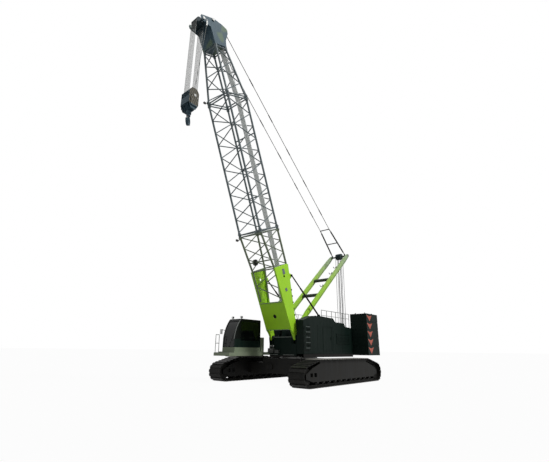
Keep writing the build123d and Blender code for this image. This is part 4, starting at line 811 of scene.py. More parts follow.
def rope_rollers():
    """Rollers that carry the hoist rope on the boom, each between two cheeks."""
    bm = bmesh.new()
    for s, n in ROPE_ROLLERS:
        add_boom_bar(bm, (s, 0.03, n), (s, 0.22, n), 0.045, 16)
        for y in (0.03, 0.20):
            foot = on_boom(s, y, n - 0.05)
            add_box(bm, foot - Vector((0.05, 0, 0.06)), foot + Vector((0.05, 0.015, 0.06)))
    finish_piece("rope_rollers", bm, "sheave", "boom")


class CRANE_OT_hoist_ropes(CraneOperator, Operator):
    """Reeve the hoist rope from its winch over the head to the hook block"""
    bl_idname = "crane.hoist_ropes"
    bl_label = "Hoist ropes"

    def execute(self, context):
        rig = context.scene.crane_rigging
        hoist_falls(rig)
        hoist_line_to_boom(rig)
        hoist_line_on_boom(rig)
        rope_rollers()
        return {"FINISHED"}


def luffing_falls(rig, block):
    """Falls between the deck block and the sheaves of the mast head."""
    bm = bmesh.new()
    for number in range(rig.luffing_sheaves):
        lane = round(number * (MAST_SHEAVES - 1) / (rig.luffing_sheaves - 1))
        y = (lane - (MAST_SHEAVES - 1) / 2) * SHEAVE_PITCH
        for side in SIDES:
            shift = side * (MAST_SHEAVE_RADIUS - 0.012)
            add_bar(bm, (block.x + shift, y, block.z), (MAST_HEAD.x + shift, y, MAST_HEAD.z),
                    rig.luffing_radius, 8)
    falls = finish_piece("luffing_falls", bm, "luffing")
    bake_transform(falls)


def luffing_lead(rig, block):
    """Luffing rope from its winch to the deck block."""
    bm = bmesh.new()
    drum = Vector((WINCHES[2][1] - 0.30, -ROPE_LANE_Y, WINCH_Z + 0.24))
    add_bar(bm, drum, (block.x + 0.10, -ROPE_LANE_Y, block.z + 0.26), rig.luffing_radius, 8)
    finish_piece("luffing_lead", bm, "luffing", "upper")


def limit_line():
    """Thin line of the mast's limit switch."""
    bm = bmesh.new()
    foot, end = LIMIT_LINE_FOOT, on_mast(7.6, 0.79, -0.17)
    add_bar(bm, foot, end, 0.006, 6)
    line = finish_piece("limit_line", bm, "rope")
    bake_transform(line)


class CRANE_OT_luffing_ropes(CraneOperator, Operator):
    """Reeve the luffing rope between the deck block and the mast head"""
    bl_idname = "crane.luffing_ropes"
    bl_label = "Luffing ropes"

    def execute(self, context):
        rig = context.scene.crane_rigging
        low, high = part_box("luffing_block")
        block = (low + high) / 2
        luffing_falls(rig, block)
        luffing_lead(rig, block)
        limit_line()
        return {"FINISHED"}


class CRANE_OT_winch_ropes(CraneOperator, Operator):
    """Wind the rope on the three drums"""
    bl_idname = "crane.winch_ropes"
    bl_label = "Winch ropes"

    def execute(self, context):
        radius = context.scene.crane_rigging.hoist_radius
        pitch = 2.1 * radius
        turns = int(2 * WINCH_HALF_ROPE / pitch)
        for name, x in WINCHES:
            bm = bmesh.new()
            for number in range(turns):
                y = (number - (turns - 1) / 2) * pitch
                add_ring(bm, (x, y, WINCH_Z), (0, 1, 0), WINCH_ROPE_RADIUS, radius, 28, 6)
            finish_piece(f"{name}_windings", bm, "rope", name, smooth=True)
        return {"FINISHED"}


# ----------------------------------------------------------- boom and mast
def section_pins():
    """Pins with six-sided heads where the boom's sections join."""
    bm = bmesh.new()
    for s in SECTION_JOINTS_S:
        for side in SIDES:
            y = side * CHORD_Y
            for n in (-CHORD_N, CHORD_N):
                for shift in (-0.11, 0.11):
                    add_boom_bar(bm, (s + shift, y - 0.13, n), (s + shift, y + 0.13, n), 0.034, 12)
                    add_boom_bar(bm, (s + shift, y + 0.10, n), (s + shift, y + 0.125, n), 0.052, 6)
    finish_piece("section_pins", bm, "machined", "boom")


def plate_edge_cleats():
    """Small cleats along the rear edge of the foot section's side plates."""
    bm = bmesh.new()
    for side in SIDES:
        outer = side * PLATE_Y
        for number in range(6):
            s = 0.95 + number * 0.40
            n = plate_rear_n(s)
            add_box(bm, on_boom(s, outer - 0.045, n) - Vector((0.035, 0.0, 0.05)),
                    on_boom(s, outer, n) + Vector((0.035, 0.02, 0.05)), 0.006)
    finish_piece("plate_edge_cleats", bm, "black", "boom")


def blank_cover_plates():
    """Blank covers screwed on the foot section's side plates."""
    bm = bmesh.new()
    for side in SIDES:
        for s, n, length, depth in ((4.25, 0.28, 0.36, 0.24), (3.10, 0.12, 0.20, 0.20)):
            add_plate(bm, [on_boom(s + a * length / 2, side * PLATE_Y, n + b * depth / 2)
                           for a, b in CORNERS], (0, side * 0.012, 0))
    finish_piece("blank_cover_plates", bm, "slate", "boom")


def hole_backings():
    """Dark discs behind the holes in the front and one side plate, and on the roller's ends."""
    bm = bmesh.new()
    hole_s = 1.540
    hole_n = plate_front_n(hole_s)
    add_boom_bar(bm, (hole_s, 0, hole_n + 0.06), (hole_s, 0, hole_n + 0.08), 0.16, 24)
    add_boom_bar(bm, (3.95, 0.96, 0.23), (3.95, 0.985, 0.23), 0.11, 24)
    s, n = ROLLER_PLACE
    for y in (-0.36, -0.482):
        add_boom_bar(bm, (s, y, n), (s, y + 0.012, n), 0.205, 28)
    finish_piece("hole_backings", bm, "black", "boom")


def worn_plate_edges():
    """Edges of the front plate that are rubbed to grey."""
    bm = bmesh.new()
    for s in (0.66, 2.468):
        n = plate_front_n(s) - 0.047
        add_plate(bm, [on_boom(s + a * 0.018, b * 0.93, n) for a, b in CORNERS],
                  on_boom(0, 0, -0.004) - on_boom(0, 0, 0))
    finish_piece("worn_plate_edges", bm, "rail", "boom")


def boom_lamps():
    """Work lamps on brackets near the boom's two joints."""
    bm = bmesh.new()
    for s in (6.88, 16.12):
        foot, lamp = on_boom(s, -0.93, -0.93), on_boom(s, -0.95, -1.16)
        add_bar(bm, foot, lamp, 0.025, 10)
        add_bar(bm, lamp - Vector((0.06, 0, 0)), lamp + Vector((0.08, 0, 0)), 0.075, 16)
    finish_piece("boom_lamps", bm, "plastic", "boom")


def head_inner_web():
    """Thin web across the inside of the boom head."""
    bm = bmesh.new()
    web = [(20.590, -0.590), (20.600, -0.612), (21.235, -0.655), (21.235, -0.630)]
    add_plate(bm, [on_boom(s, -HEAD_WEB_HALF, n) for s, n in web], (0, 2 * HEAD_WEB_HALF, 0))
    finish_piece("head_inner_web", bm, "head", "boom")


def stay_link_straps():
    """Links at the mast's end of the two stays, and the couplings along them."""
    bm = bmesh.new()
    along = (on_boom(*STAY_ANCHOR) - MAST_HEAD).normalized()
    for side in SIDES:
        start, end = (MAST_HEAD + along * reach + Vector((0, side * y, 0))
                      for reach, y in ((0.42, 0.5827), (2.62, 0.4473)))
        add_bar(bm, start, end, 0.058, 12)
        for number in range(5):
            middle = MAST_HEAD + along * (4.6 + 2.8 * number) + Vector((0, side * STAY_HALF_GAP, 0))
            add_bar(bm, middle - along * 0.28, middle + along * 0.28, 0.036, 12)
    finish_piece("stay_link_straps", bm, "stay", "boom")


def foot_pin_keepers():
    """Keeper discs in the lugs of the boom's foot pins, and the bolts on their outer faces."""
    bm = bmesh.new()
    for side in SIDES:
        for y in (0.826, 1.106):
            add_cap(bm, (BOOM_FOOT.x, side * y - 0.012, BOOM_FOOT.z), 0.024, 0.125, 24)
        add_bolt_circle(bm, BOOM_FOOT + Vector((0, side * 1.12, 0)), (0, side * 0.016, 0), 0.1, 6, 0.014)
    finish_piece("foot_pin_keepers", bm, "machined", "upper")


def head_axle_caps():
    """Caps on the ends of the head's axles, each with its bolts."""
    bm = bmesh.new()
    for s, n in HEAD_AXLES:
        for side in SIDES:
            face = on_boom(s, side * HEAD_CHEEK_Y, n)
            add_cap(bm, face, side * 0.016, 0.095)
            add_bolt_circle(bm, face + Vector((0, side * 0.016, 0)), (0, side * 0.012, 0), 0.074, 6, 0.010)
    finish_piece("head_axle_caps", bm, "machined", "boom")


class CRANE_OT_boom_fittings(CraneOperator, Operator):
    """Add the pins, bolts and plates of the boom"""
    bl_idname = "crane.boom_fittings"
    bl_label = "Boom fittings"

    def execute(self, context):
        for make in (section_pins, plate_edge_cleats, blank_cover_plates, hole_backings,
                     worn_plate_edges, boom_lamps, head_inner_web, stay_link_straps,
                     foot_pin_keepers, head_axle_caps):
            make()
        return {"FINISHED"}


def mast_step_brackets():
    """Hooped steps on one leg of the mast."""
    bm = bmesh.new()
    for s in (3.99, 5.79, 6.71):
        add_ring(bm, on_mast(s, 0.58, 0.24), (1, 0, 0), 0.13, 0.024, 12, 8, math.pi, (0, -1, 0))
        add_bar(bm, on_mast(s, 0.72, 0.15), on_mast(s, 0.71, 0.255), 0.024, 8)
    finish_piece("mast_step_brackets", bm, "black", "mast", smooth=True)


def mast_doubler_plates():
    """Doubler plates on the outer faces of the mast's legs, bolted at their corners."""
    bm = bmesh.new()
    for side in SIDES:
        outer = side * MAST_LEG_Y
        for s in (0.95, 3.00, 5.13, 8.10):
            add_plate(bm, [on_mast(s + a * 0.17, outer, b * 0.13) for a, b in CORNERS],
                      (0, side * 0.012, 0))
            for a, b in CORNERS:
                add_cap(bm, on_mast(s + a * 0.13, outer + side * 0.012, b * 0.09), side * 0.014, 0.016, 6)
    finish_piece("mast_doubler_plates", bm, "mast", "mast")


def mast_head_caps():
    """Caps on the pins at the mast's head and foot."""
    bm = bmesh.new()
    for side in SIDES:
        add_cap(bm, (MAST_HEAD.x, side * MAST_LEG_Y, MAST_HEAD.z), side * 0.02, 0.11)
        add_cap(bm, (MAST_FOOT.x, side * MAST_STAND_Y, MAST_FOOT.z), side * 0.016, 0.095)
    finish_piece("mast_head_caps", bm, "machined", "mast")


class CRANE_OT_mast_fittings(CraneOperator, Operator):
    """Add the step brackets, doubler plates and pin caps of the mast"""
    bl_idname = "crane.mast_fittings"
    bl_label = "Mast fittings"

    def execute(self, context):
        mast_step_brackets()
        mast_doubler_plates()
        mast_head_caps()
        return {"FINISHED"}


# ----------------------------------------------------------------- upper works
def ballast_chevrons(low, high):
    """One arrow-shaped chevron on the side of every slab."""
    bm = bmesh.new()
    pitch = (high.z - low.z) / BALLAST_SLABS
    outline = [(0.0, 0.0), (-0.42, -0.09), (-0.86, 0.0), (-0.46, -0.45)]
    front = high.x - 0.03
    for side in SIDES:
        for number in range(BALLAST_SLABS):
            top = high.z - 0.10 - number * pitch
            add_plate(bm, [(front + x, side * high.y, top + z) for x, z in outline], (0, side * 0.003, 0))
    finish_piece("ballast_chevrons", bm, "chevron", "upper")


def slab_lifting_eyes(low, high):
    """Lifting eyes on the top slabs, each welded on a foot plate."""
    bm = bmesh.new()
    for side in SIDES:
        for x in (low.x + 0.35, high.x - 0.35):
            for y in (1.85, 2.62):
                centre = Vector((x, side * y, high.z))
                add_ring(bm, centre, (0, 1, 0), 0.085, 0.02, 12, 8, math.pi, (-1, 0, 0))
                add_box(bm, centre - Vector((0.13, 0.05, 0.0)), centre + Vector((0.13, 0.05, 0.012)), 0.004)
    finish_piece("slab_lifting_eyes", bm, "black", "upper", smooth=True)


class CRANE_OT_ballast_fittings(CraneOperator, Operator):
    """Add the chevrons and lifting eyes of the ballast"""
    bl_idname = "crane.ballast_fittings"
    bl_label = "Ballast fittings"

    def execute(self, context):
        low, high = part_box("counterweight_stacks")
        ballast_chevrons(low, high)
        slab_lifting_eyes(low, high)
        return {"FINISHED"}


def house_grilles():
    """Louvred grilles on the house walls: a frame and slats that slope down outwards."""
    bm = bmesh.new()
    for side, x0, x1, z0, z1 in HOUSE_GRILLES:
        y, push = side * HOUSE_WALL_Y, side * 0.03
        add_wall_box(bm, y, push, (x0, x1), (z0, z0 + GRILLE_FRAME), 0.006)
        add_wall_box(bm, y, push, (x0, x1), (z1 - GRILLE_FRAME, z1), 0.006)
        add_wall_box(bm, y, push, (x0, x0 + GRILLE_FRAME), (z0, z1), 0.006)
        add_wall_box(bm, y, push, (x1 - GRILLE_FRAME, x1), (z0, z1), 0.006)
        turn = Matrix.Rotation(side * math.radians(38), 3, "X")
        for number in range(int((z1 - z0 - 0.14) / SLAT_PITCH)):
            z = z0 + 0.085 + number * SLAT_PITCH
            add_box(bm, (x0 + GRILLE_FRAME, y + side * 0.012 - 0.003, z - 0.028),
                    (x1 - GRILLE_FRAME, y + side * 0.012 + 0.003, z + 0.028), 0.0, turn)
    finish_piece("house_grilles", bm, "body", "upper")


def house_seams():
    """Raised borders of the doors, the seams between wall sheets and the sill strip below them."""
    bm = bmesh.new()
    for side, low_x, high_x in ((1, -1.5, -0.45), (-1, -3.45, -2.25)):
        y, push = side * HOUSE_WALL_Y, side * 0.012
        for x in (low_x - 0.05, high_x + 0.03):
            add_wall_box(bm, y, push, (x, x + 0.02), (1.86, 3.46))
        for z in (1.85, 3.44):
            add_wall_box(bm, y, push, (low_x - 0.05, high_x + 0.05), (z, z + 0.02))
    for side, stations in ((1, (-4.43, -2.95, -1.75, 0.20, 1.20)), (-1, (-4.43, -2.05, -0.15, 0.60))):
        for x in stations:
            add_wall_box(bm, side * HOUSE_WALL_Y, side * 0.008, (x, x + 0.035), (1.72, 3.50))
    for side, end in ((1, 1.78), (-1, 0.63)):
        add_wall_box(bm, side * HOUSE_WALL_Y, side * 0.014, (HOUSE_REAR_X, end), (1.715, 1.80), 0.004)
    finish_piece("house_seams", bm, "body", "upper")


def roof_hatches():
    """Hatches on the house roofs, each with a bar handle on two posts."""
    bm = bmesh.new()
    for side in SIDES:
        y = side * HATCH_Y
        for x0, x1, z in ((-3.25, -2.25, 3.80), (-4.35, -3.60, 3.53)):
            handle_x = x0 + 0.1
            add_box(bm, (x0, y - 0.26, z), (x1, y + 0.26, z + 0.035), 0.012)
            add_bar(bm, (handle_x, y - 0.08, z + 0.07), (handle_x, y + 0.08, z + 0.07), 0.010, 8)
            for post in (-0.08, 0.08):
                add_bar(bm, (handle_x, y + post, z + 0.03), (handle_x, y + post, z + 0.07), 0.010, 8)
    finish_piece("roof_hatches", bm, "body", "upper")


def fan_guard():
    """Round wire guard on the right house's roof: rings on four crossing bars."""
    bm = bmesh.new()
    centre = Vector((-1.20, -HATCH_Y, 4.10))
    for number in range(6):
        add_ring(bm, centre, (0, 0, 1), 0.05 + number * 0.045, 0.006, 24, 6)
    for number in range(4):
        angle = number * math.pi / 4
        reach = 0.28 * Vector((math.cos(angle), math.sin(angle), 0.0))
        add_bar(bm, centre - reach, centre + reach, 0.006, 6)
    finish_piece("fan_guard", bm, "black", "upper", smooth=True)


class CRANE_OT_house_fittings(CraneOperator, Operator):
    """Add the grilles, seams, hatches and fan guard of the machinery houses"""
    bl_idname = "crane.house_fittings"
    bl_label = "House fittings"

    def execute(self, context):
        house_grilles()
        house_seams()
        roof_hatches()
        fan_guard()
        return {"FINISHED"}


def upright_ports():
    """Y and top of each upright pipe stub on the valve block."""
    return [(-0.98 + number * 0.08, 2.12 + 0.02 * (number % 2)) for number in range(5)]


def side_ports():
    """Y and height of each pipe stub on the valve block's front."""
    return [(-0.95 + number * 0.09, 1.78 + number * 0.06) for number in range(4)]


def valve_blocks():
    """Two cast valve blocks with stub ports on top and in front."""
    bm = bmesh.new()
    add_box(bm, (1.74, -1.02, 1.74), (2.02, -0.62, 2.02), 0.012)
    add_box(bm, (1.74, -0.52, 1.72), (1.92, -0.22, 1.92), 0.012)
    for y, top in upright_ports():
        add_bar(bm, (1.88, y, 2.02), (1.88, y, top), 0.016, 10)
    for y, z in side_ports():
        add_bar(bm, (2.02, y, z), (2.08, y, z), 0.018, 10)
    finish_piece("valve_blocks", bm, "iron", "upper")


def steel_pipes():
    """Bent pipes from the ports back to the deck."""
    bm = bmesh.new()
    for y, top in upright_ports():
        add_ring(bm, (1.80, y, top), (0, 1, 0), 0.08, 0.012, 8, 8, -math.pi, (1, 0, 0))
    for y, z in side_ports():
        add_ring(bm, (2.08, y - 0.05, z), (0, 0, 1), 0.05, 0.012, 8, 8, -math.pi, (0, 1, 0))
        add_bar(bm, (2.08, y - 0.10, z), (1.73, y - 0.10, z), 0.012, 8)
    finish_piece("steel_pipes", bm, "machined", "upper", smooth=True)


def platform_treads():
    """Tread bars of the cab's platform and the rods that tie them."""
    bm = bmesh.new()
    for number in range(5):
        x = 4.58 + number * 0.075
        add_box(bm, (x, -2.92, 1.729), (x + 0.02, -1.60, 1.742))
    for number in range(11):
        y = -2.92 + number * 0.13
        add_bar(bm, (4.56, y, 1.735), (4.92, y, 1.735), 0.005, 6)
    finish_piece("platform_treads", bm, "rail", "upper")


def deck_step_edges():
    """Pale strips along the edges at the deck's front."""
    bm = bmesh.new()
    for y0, y1 in ((-1.05, -0.35), (0.10, 0.95)):
        add_box(bm, (1.727, y0, 1.615), (1.80, y1, 1.645), 0.006)
    add_box(bm, (1.724, -0.735, 2.700), (1.736, 0.735, 2.738), 0.003)
    finish_piece("deck_step_edges", bm, "rail", "upper")


def underdeck_skirts():
    """Skirts that hang below the deck's edges and the cab's platform: dark sheets that close the gap above
    the tracks, standing partly for the frames there and partly for painted shade between deck and tracks.
    """
    bm = bmesh.new()
    for y0, y1, x in ((1.690, 1.712, 1.78), (-1.712, -1.690, 0.62)):
        add_box(bm, (HOUSE_REAR_X, y0, SKIRT_FOOT_Z), (x, y1, 1.702), 0.003)
    add_box(bm, (1.690, -1.10, SKIRT_FOOT_Z), (1.712, 1.10, 1.602), 0.003)
    add_box(bm, (1.30, -2.80, 1.490), (4.10, -1.60, 1.542), 0.010)
    finish_piece("underdeck_skirts", bm, "black", "upper")


def winch_bolts(name, x):
    """Bolts round both flanges of a winch."""
    bm = bmesh.new()
    for side in SIDES:
        add_bolt_circle(bm, (x, side * 0.56, WINCH_Z), (0, side * 0.02, 0), 0.42, 8, 0.02)
    finish_piece(f"{name}_bolts", bm, "machined", name)


class CRANE_OT_deck_fittings(CraneOperator, Operator):
    """Add the valve blocks, pipes, treads and skirts of the deck, and the bolts of its winches"""
    bl_idname = "crane.deck_fittings"
    bl_label = "Deck fittings"

    def execute(self, context):
        for make in (valve_blocks, steel_pipes, platform_treads, deck_step_edges, underdeck_skirts):
            make()
        for name, x in WINCHES:
            winch_bolts(name, x)
        return {"FINISHED"}


# ------------------------------------------------------------------------ cab
def crown_cushion(bm, size, crown, axis):
    """Raise a cube's two faces across an axis into crowns and draw its sides in between the corners."""
    first, second = (number for number in range(3) if number != axis)
    for vert in bm.verts:
        share = [2 * abs(part) for part in vert.co]
        if share[axis] > 0.99:
            dome = (1 - share[first] ** 2) * (1 - share[second] ** 2)
            vert.co[axis] += math.copysign(crown * dome / size[axis], vert.co[axis])
        for number, other in ((first, second), (second, first)):
            vert.co[number] *= 1 - 0.05 * (1 - share[other] ** 2) * (1 - share[axis])


def add_cushion(name, low, high, crown, axis, lean=0.0):
    """Crowned closed pad, pinched between its corners."""
    low, high = Vector(low), Vector(high)
    size = high - low
    bm = bmesh.new()
    bmesh.ops.create_cube(bm, size=1.0)
    bmesh.ops.subdivide_edges(bm, edges=bm.edges[:], cuts=5, use_grid_fill=True)
    crown_cushion(bm, size, crown, axis)
    bmesh.ops.transform(bm, matrix=Matrix.Diagonal((*size, 1.0)), verts=bm.verts)
    bmesh.ops.rotate(bm, matrix=Matrix.Rotation(lean, 3, "Y"), cent=(0, 0, -size.z / 2), verts=bm.verts)
    bmesh.ops.translate(bm, vec=(low + high) / 2, verts=bm.verts)
    piece = finish_piece(name, bm, "cloth", "upper", smooth=True)
    smoothing = piece.modifiers.new("rounding", "SUBSURF")
    smoothing.levels = smoothing.render_levels = 2


def seat_suspension(y):
    """Seat's plinth, bellows, pan and back post, in the place of the CAD seat."""
    bm = bmesh.new()
    add_box(bm, (2.62, y - 0.16, 1.852), (2.92, y + 0.16, 1.93), 0.015)
    for number in range(5):
        z, inset = 1.93 + number * 0.045, 0.012 * (number % 2)
        add_box(bm, (2.64 + inset, y - 0.15, z), (2.90 - inset, y + 0.15, z + 0.04), 0.012)
    add_box(bm, (2.55, y - 0.22, 2.155), (3.00, y + 0.22, 2.185), 0.010)
    add_box(bm, (2.45, y - 0.05, 2.16), (2.55, y + 0.05, 2.60), 0.012)
    base = finish_piece("seat_suspension", bm, "plastic", "upper")
    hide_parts("cab_seat")


class CRANE_OT_seat(CraneOperator, Operator):
    """Build the operator's seat"""
    bl_idname = "crane.seat"
    bl_label = "Operator's seat"

    def execute(self, context):
        low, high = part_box("cab_seat")
        y = (low.y + high.y) / 2
        seat_suspension(y)
        add_cushion("seat_cushion", (2.53, y - 0.25, 2.19), (3.03, y + 0.25, 2.295), 0.015, 2)
        add_cushion("seat_backrest", (2.52, y - 0.235, 2.29), (2.61, y + 0.235, 2.80), 0.012, 0,
                    -math.radians(8))
        add_cushion("seat_headrest", (2.455, y - 0.13, 2.815), (2.52, y + 0.13, 2.955), 0.008, 0,
                    -math.radians(6))
        return {"FINISHED"}


def lamp_lenses():
    """Lenses of the two lamps on the cab's roof."""
    bm = bmesh.new()
    for y in (-1.75, -2.55):
        add_bar(bm, (3.870, y, 3.92), (3.882, y, 3.92), 0.062, 20)
    finish_piece("lamp_lenses", bm, "lens", "upper")


def mirror_glass():
    """Polished face of the mirror."""
    bm = bmesh.new()
    add_box(bm, (4.4655, -3.01, 2.87), (4.4685, -2.85, 3.15), 0.001)
    finish_piece("mirror_glass", bm, "chrome", "upper")


def wiper_and_grab_rail():
    """Wiper's arm, blade and hub on the windscreen, and the grab rail beside the door."""
    bm = bmesh.new()
    add_bar(bm, (4.492, -2.15, 2.10), (4.445, -1.85, 2.75), 0.010, 8)
    add_bar(bm, (4.465, -1.90, 2.45), (4.395, -1.80, 3.05), 0.007, 8)
    add_bar(bm, (4.482, -2.15, 2.10), (4.505, -2.15, 2.10), 0.025, 12)
    x, wall, rail = 3.645, -2.70, -2.745
    for z in (2.12, 3.19):
        add_bar(bm, (x, wall, z), (x, rail, z), 0.009, 8)
    add_bar(bm, (x, rail, 2.08), (x, rail, 3.20), 0.012, 8)
    finish_piece("wiper_and_grab_rail", bm, "plastic", "upper")


def cab_roof_trim():
    """Hatch on the cab's roof, and strips along its sides and front."""
    bm = bmesh.new()
    add_box(bm, (2.30, -2.45, CAB_ROOF_Z), (2.95, -1.85, 3.83), 0.015)
    for y0, y1 in ((-2.69, -2.66), (-1.64, -1.61)):
        add_box(bm, (2.14, y0, CAB_ROOF_Z), (3.93, y1, 3.812), 0.006)
    add_box(bm, (3.89, -2.66, CAB_ROOF_Z), (3.93, -1.64, 3.812), 0.006)
    finish_piece("cab_roof_trim", bm, "cab", "upper")


def cab_displays():
    """Two displays on a post inside the cab."""
    bm = bmesh.new()
    for z in (2.90, 3.25):
        add_box(bm, (3.73, -2.43, z), (3.75, -2.13, z + 0.22), 0.004)
    add_bar(bm, (3.74, -2.28, 2.10), (3.74, -2.28, 3.40), 0.015, 10)
    finish_piece("cab_displays", bm, "plastic", "upper")


class CRANE_OT_cab_fittings(CraneOperator, Operator):
    """Add the lenses, mirror, wiper, rail, roof trim and displays of the cab"""
    bl_idname = "crane.cab_fittings"
    bl_label = "Cab fittings"

    def execute(self, context):
        for make in (lamp_lenses, mirror_glass, wiper_and_grab_rail, cab_roof_trim, cab_displays):
            make()
        return {"FINISHED"}


# ---------------------------------------------------------------- undercarriage
def slewing_bolts():
    """Bolts round the slewing ring."""
    bm = bmesh.new()
    add_bolt_circle(bm, (0, 0, 1.52), (0, 0, 0.03), 1.20, 40, 0.022)
    finish_piece("slewing_bolts", bm, "machined", "crawler")


def hub_covers():
    """Covers on the hubs of the idlers and sprockets, each with its bolts."""
    bm = bmesh.new()
    for node, count in (("idlers", 8), ("sprockets", 12)):
        low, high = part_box(node)
        x, z = (low.x + high.x) / 2, (low.z + high.z) / 2
        for side in SIDES:
            y = side * high.y
            add_cap(bm, (x, y, z), side * 0.03, 0.15, 24)
            add_bolt_circle(bm, (x, y + side * 0.03, z), (0, side * 0.02, 0), 0.12, count, 0.014)
    finish_piece("hub_covers", bm, "black", "crawler")


def track_slide_rails():
    """Two rails under each track's upper run."""
    bm = bmesh.new()
    for node in ("track_left", "track_right"):
        low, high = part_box(node)
        y = (low.y + high.y) / 2
        for edge in (y - 0.38, y + 0.36):
            add_box(bm, (-2.74, edge, 1.243), (2.88, edge + 0.02, 1.390), 0.004)
    finish_piece("track_slide_rails", bm, "black", "crawler")


def carbody_covers():
    """Covers on the carbody's front and rear faces."""
    bm = bmesh.new()
    for x in (1.95, -1.95):
        for y in (-0.9, 0.9):
            add_box(bm, (x - 0.05, y - 0.25, 0.75), (x + 0.05, y + 0.25, 1.05), 0.01)
    finish_piece("carbody_covers", bm, "black", "crawler")


class CRANE_OT_undercarriage_fittings(CraneOperator, Operator):
    """Add the bolts, covers and slide rails of the undercarriage"""
    bl_idname = "crane.undercarriage_fittings"
    bl_label = "Undercarriage fittings"

    def execute(self, context):
        slewing_bolts()
        hub_covers()
        track_slide_rails()
        carbody_covers()
        return {"FINISHED"}


# ----------------------------------------------------------------- hook block
def hook_latch():
    """Latch across the hook's throat, turned with the hook."""
    x = FALLS_AXLE.x
    outline = ((0.075, 14.68), (0.115, 14.70), (0.285, 14.46), (0.255, 14.43))
    bm = bmesh.new()
    add_plate(bm, [(x + out, -0.03, z) for out, z in outline], (0, 0.06, 0))
    bmesh.ops.rotate(bm, matrix=Matrix.Rotation(HOOK_TURN, 3, "Z"), cent=(x, 0, 0), verts=bm.verts)
    finish_piece("hook_latch", bm, "machined", "hook")


def hook_bearing_housing():
    """Stepped housing of the hook's thrust bearing, below the block."""
    bm = bmesh.new()
    x, block_low = FALLS_AXLE.x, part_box("hook_block")[0].z
    for drop, depth, radius in ((0.02, 0.20, 0.150), (0.20, 0.36, 0.120)):
        add_bar(bm, (x, 0, block_low - depth), (x, 0, block_low - drop), radius, 24)
    finish_piece("hook_bearing_housing", bm, "block", "hook")


def hook_block_bolts():
    """Bolts of the hook block's cheeks, and the caps on its axle."""
    bm = bmesh.new()
    x = FALLS_AXLE.x
    for side in SIDES:
        for dx in (-0.18, 0.18):
            for z in (15.32, 15.58, 15.83):
                add_cap(bm, (x + dx, side * 0.46, z), side * 0.018, 0.020, 6)
        add_cap(bm, (x, side * 0.47, BLOCK_AXLE_Z), side * 0.02, 0.085)
    finish_piece("hook_block_bolts", bm, "machined", "hook_block")


class CRANE_OT_hook_fittings(CraneOperator, Operator):
    """Add the latch, bearing housing, bolts and caps of the hook block"""
    bl_idname = "crane.hook_fittings"
    bl_label = "Hook fittings"

    def execute(self, context):
        hook_latch()
        hook_bearing_housing()
        hook_block_bolts()
        return {"FINISHED"}


# ---------------------------------------------------------------------- stage
def stage_camera(scene):
    """Camera at the place that CAMERA_PLACE, CAMERA_RIGHT and CAMERA_UP give."""
    camera = bpy.data.objects.new("camera", bpy.data.cameras.new("camera"))
    back = CAMERA_RIGHT.cross(CAMERA_UP).normalized()
    turn = Matrix((CAMERA_RIGHT.normalized(), back.cross(CAMERA_RIGHT).normalized(), back)).transposed()
    camera.matrix_world = Matrix.Translation(CAMERA_PLACE) @ turn.to_4x4()
    camera.data.sensor_width = 36.0
    camera.data.lens = CAMERA_LENS
    camera.data.clip_end = 4000.0
    scene.collection.objects.link(camera)
    scene.camera = camera


def stage_sun(scene, name, strength, source, spread):
    """Sun that shines from a source and whose disc is spread degrees wide."""
    lamp = bpy.data.objects.new(name, bpy.data.lights.new(name, "SUN"))
    lamp.data.energy = strength
    lamp.data.angle = math.radians(spread)
    lamp.rotation_euler = Vector(source).to_track_quat("Z", "Y").to_euler()
    scene.collection.objects.link(lamp)


def stage_floor(scene, reach):
    """Flat floor below the tracks."""
    bm = bmesh.new()
    bmesh.ops.create_grid(bm, x_segments=1, y_segments=1, size=reach)
    mesh = bpy.data.meshes.new("floor")
    bm.to_mesh(mesh)
    bm.free()
    mesh.materials.append(floor_finish())
    floor = bpy.data.objects.new("floor", mesh)
    scene.collection.objects.link(floor)


def studio_world(sky_strength):
    """White backdrop that lights the crane less than it shows."""
    world = bpy.data.worlds.new("studio")
    world.use_nodes = True
    tree = world.node_tree
    tree.nodes.clear()
    strength = add(tree, "MapRange", {"Value": seen_rays(tree), **span(0.0, 1.0, sky_strength, 1.0)})[0]
    sky = add(tree, "Background", {"Color": WHITE, "Strength": strength})[0]
    add(tree, "OutputWorld", {"Surface": sky})
    return world


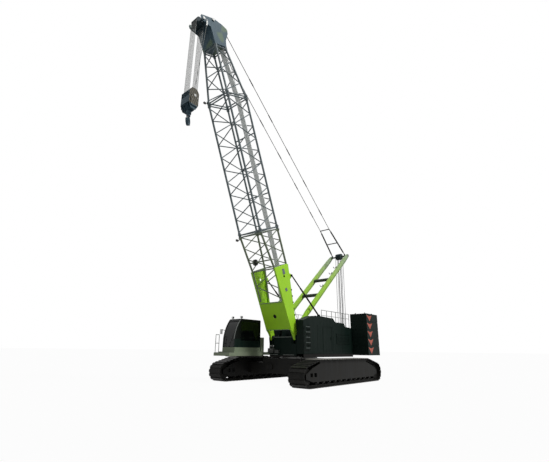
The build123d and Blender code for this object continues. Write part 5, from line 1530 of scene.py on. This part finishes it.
class CRANE_OT_stage(CraneOperator, Operator):
    """Set up the camera, the light and the floor"""
    bl_idname = "crane.stage"
    bl_label = "Stage"

    def execute(self, context):
        scene = context.scene
        stage = scene.crane_stage
        scene.view_settings.view_transform = "Standard"
        stage_camera(scene)
        stage_sun(scene, "key_sun", stage.sun_strength, (-2.0, 8.0, 9.0), 12.0)
        stage_sun(scene, "fill_sun", stage.fill_strength, (9.0, 3.0, 5.0), 40.0)
        stage_floor(scene, stage.floor_reach)
        scene.world = studio_world(stage.sky_strength)
        return {"FINISHED"}


OPERATORS = (CRANE_OT_stage, CRANE_OT_paint, CRANE_OT_hoist_ropes, CRANE_OT_luffing_ropes,
             CRANE_OT_winch_ropes, CRANE_OT_boom_fittings, CRANE_OT_mast_fittings,
             CRANE_OT_ballast_fittings, CRANE_OT_house_fittings, CRANE_OT_deck_fittings, CRANE_OT_seat,
             CRANE_OT_cab_fittings, CRANE_OT_undercarriage_fittings, CRANE_OT_hook_fittings)


class CRANE_PT_panel(Panel):
    """Crane settings and steps"""
    bl_idname = "CRANE_PT_panel"
    bl_label = "Crawler crane"
    bl_space_type = "VIEW_3D"
    bl_region_type = "UI"
    bl_category = "Crane"

    def draw(self, context):
        for group in (context.scene.crane_paint, context.scene.crane_rigging, context.scene.crane_stage):
            for name in group.__annotations__:
                self.layout.prop(group, name)
        for operator in OPERATORS:
            self.layout.operator(operator.bl_idname)


CLASSES = (CranePaintSettings, CraneRiggingSettings, CraneStageSettings, *OPERATORS, CRANE_PT_panel)


def register():
    for kind in CLASSES:
        bpy.utils.register_class(kind)
    bpy.types.Scene.crane_paint = PointerProperty(type=CranePaintSettings)
    bpy.types.Scene.crane_rigging = PointerProperty(type=CraneRiggingSettings)
    bpy.types.Scene.crane_stage = PointerProperty(type=CraneStageSettings)


def unregister():
    del bpy.types.Scene.crane_stage
    del bpy.types.Scene.crane_rigging
    del bpy.types.Scene.crane_paint
    for kind in reversed(CLASSES):
        bpy.utils.unregister_class(kind)


def main():
    """Dress the crane."""
    register()
    for operator in OPERATORS:
        group, name = operator.bl_idname.split(".")
        getattr(getattr(bpy.ops, group), name)()


if __name__ == "__main__":
    main()
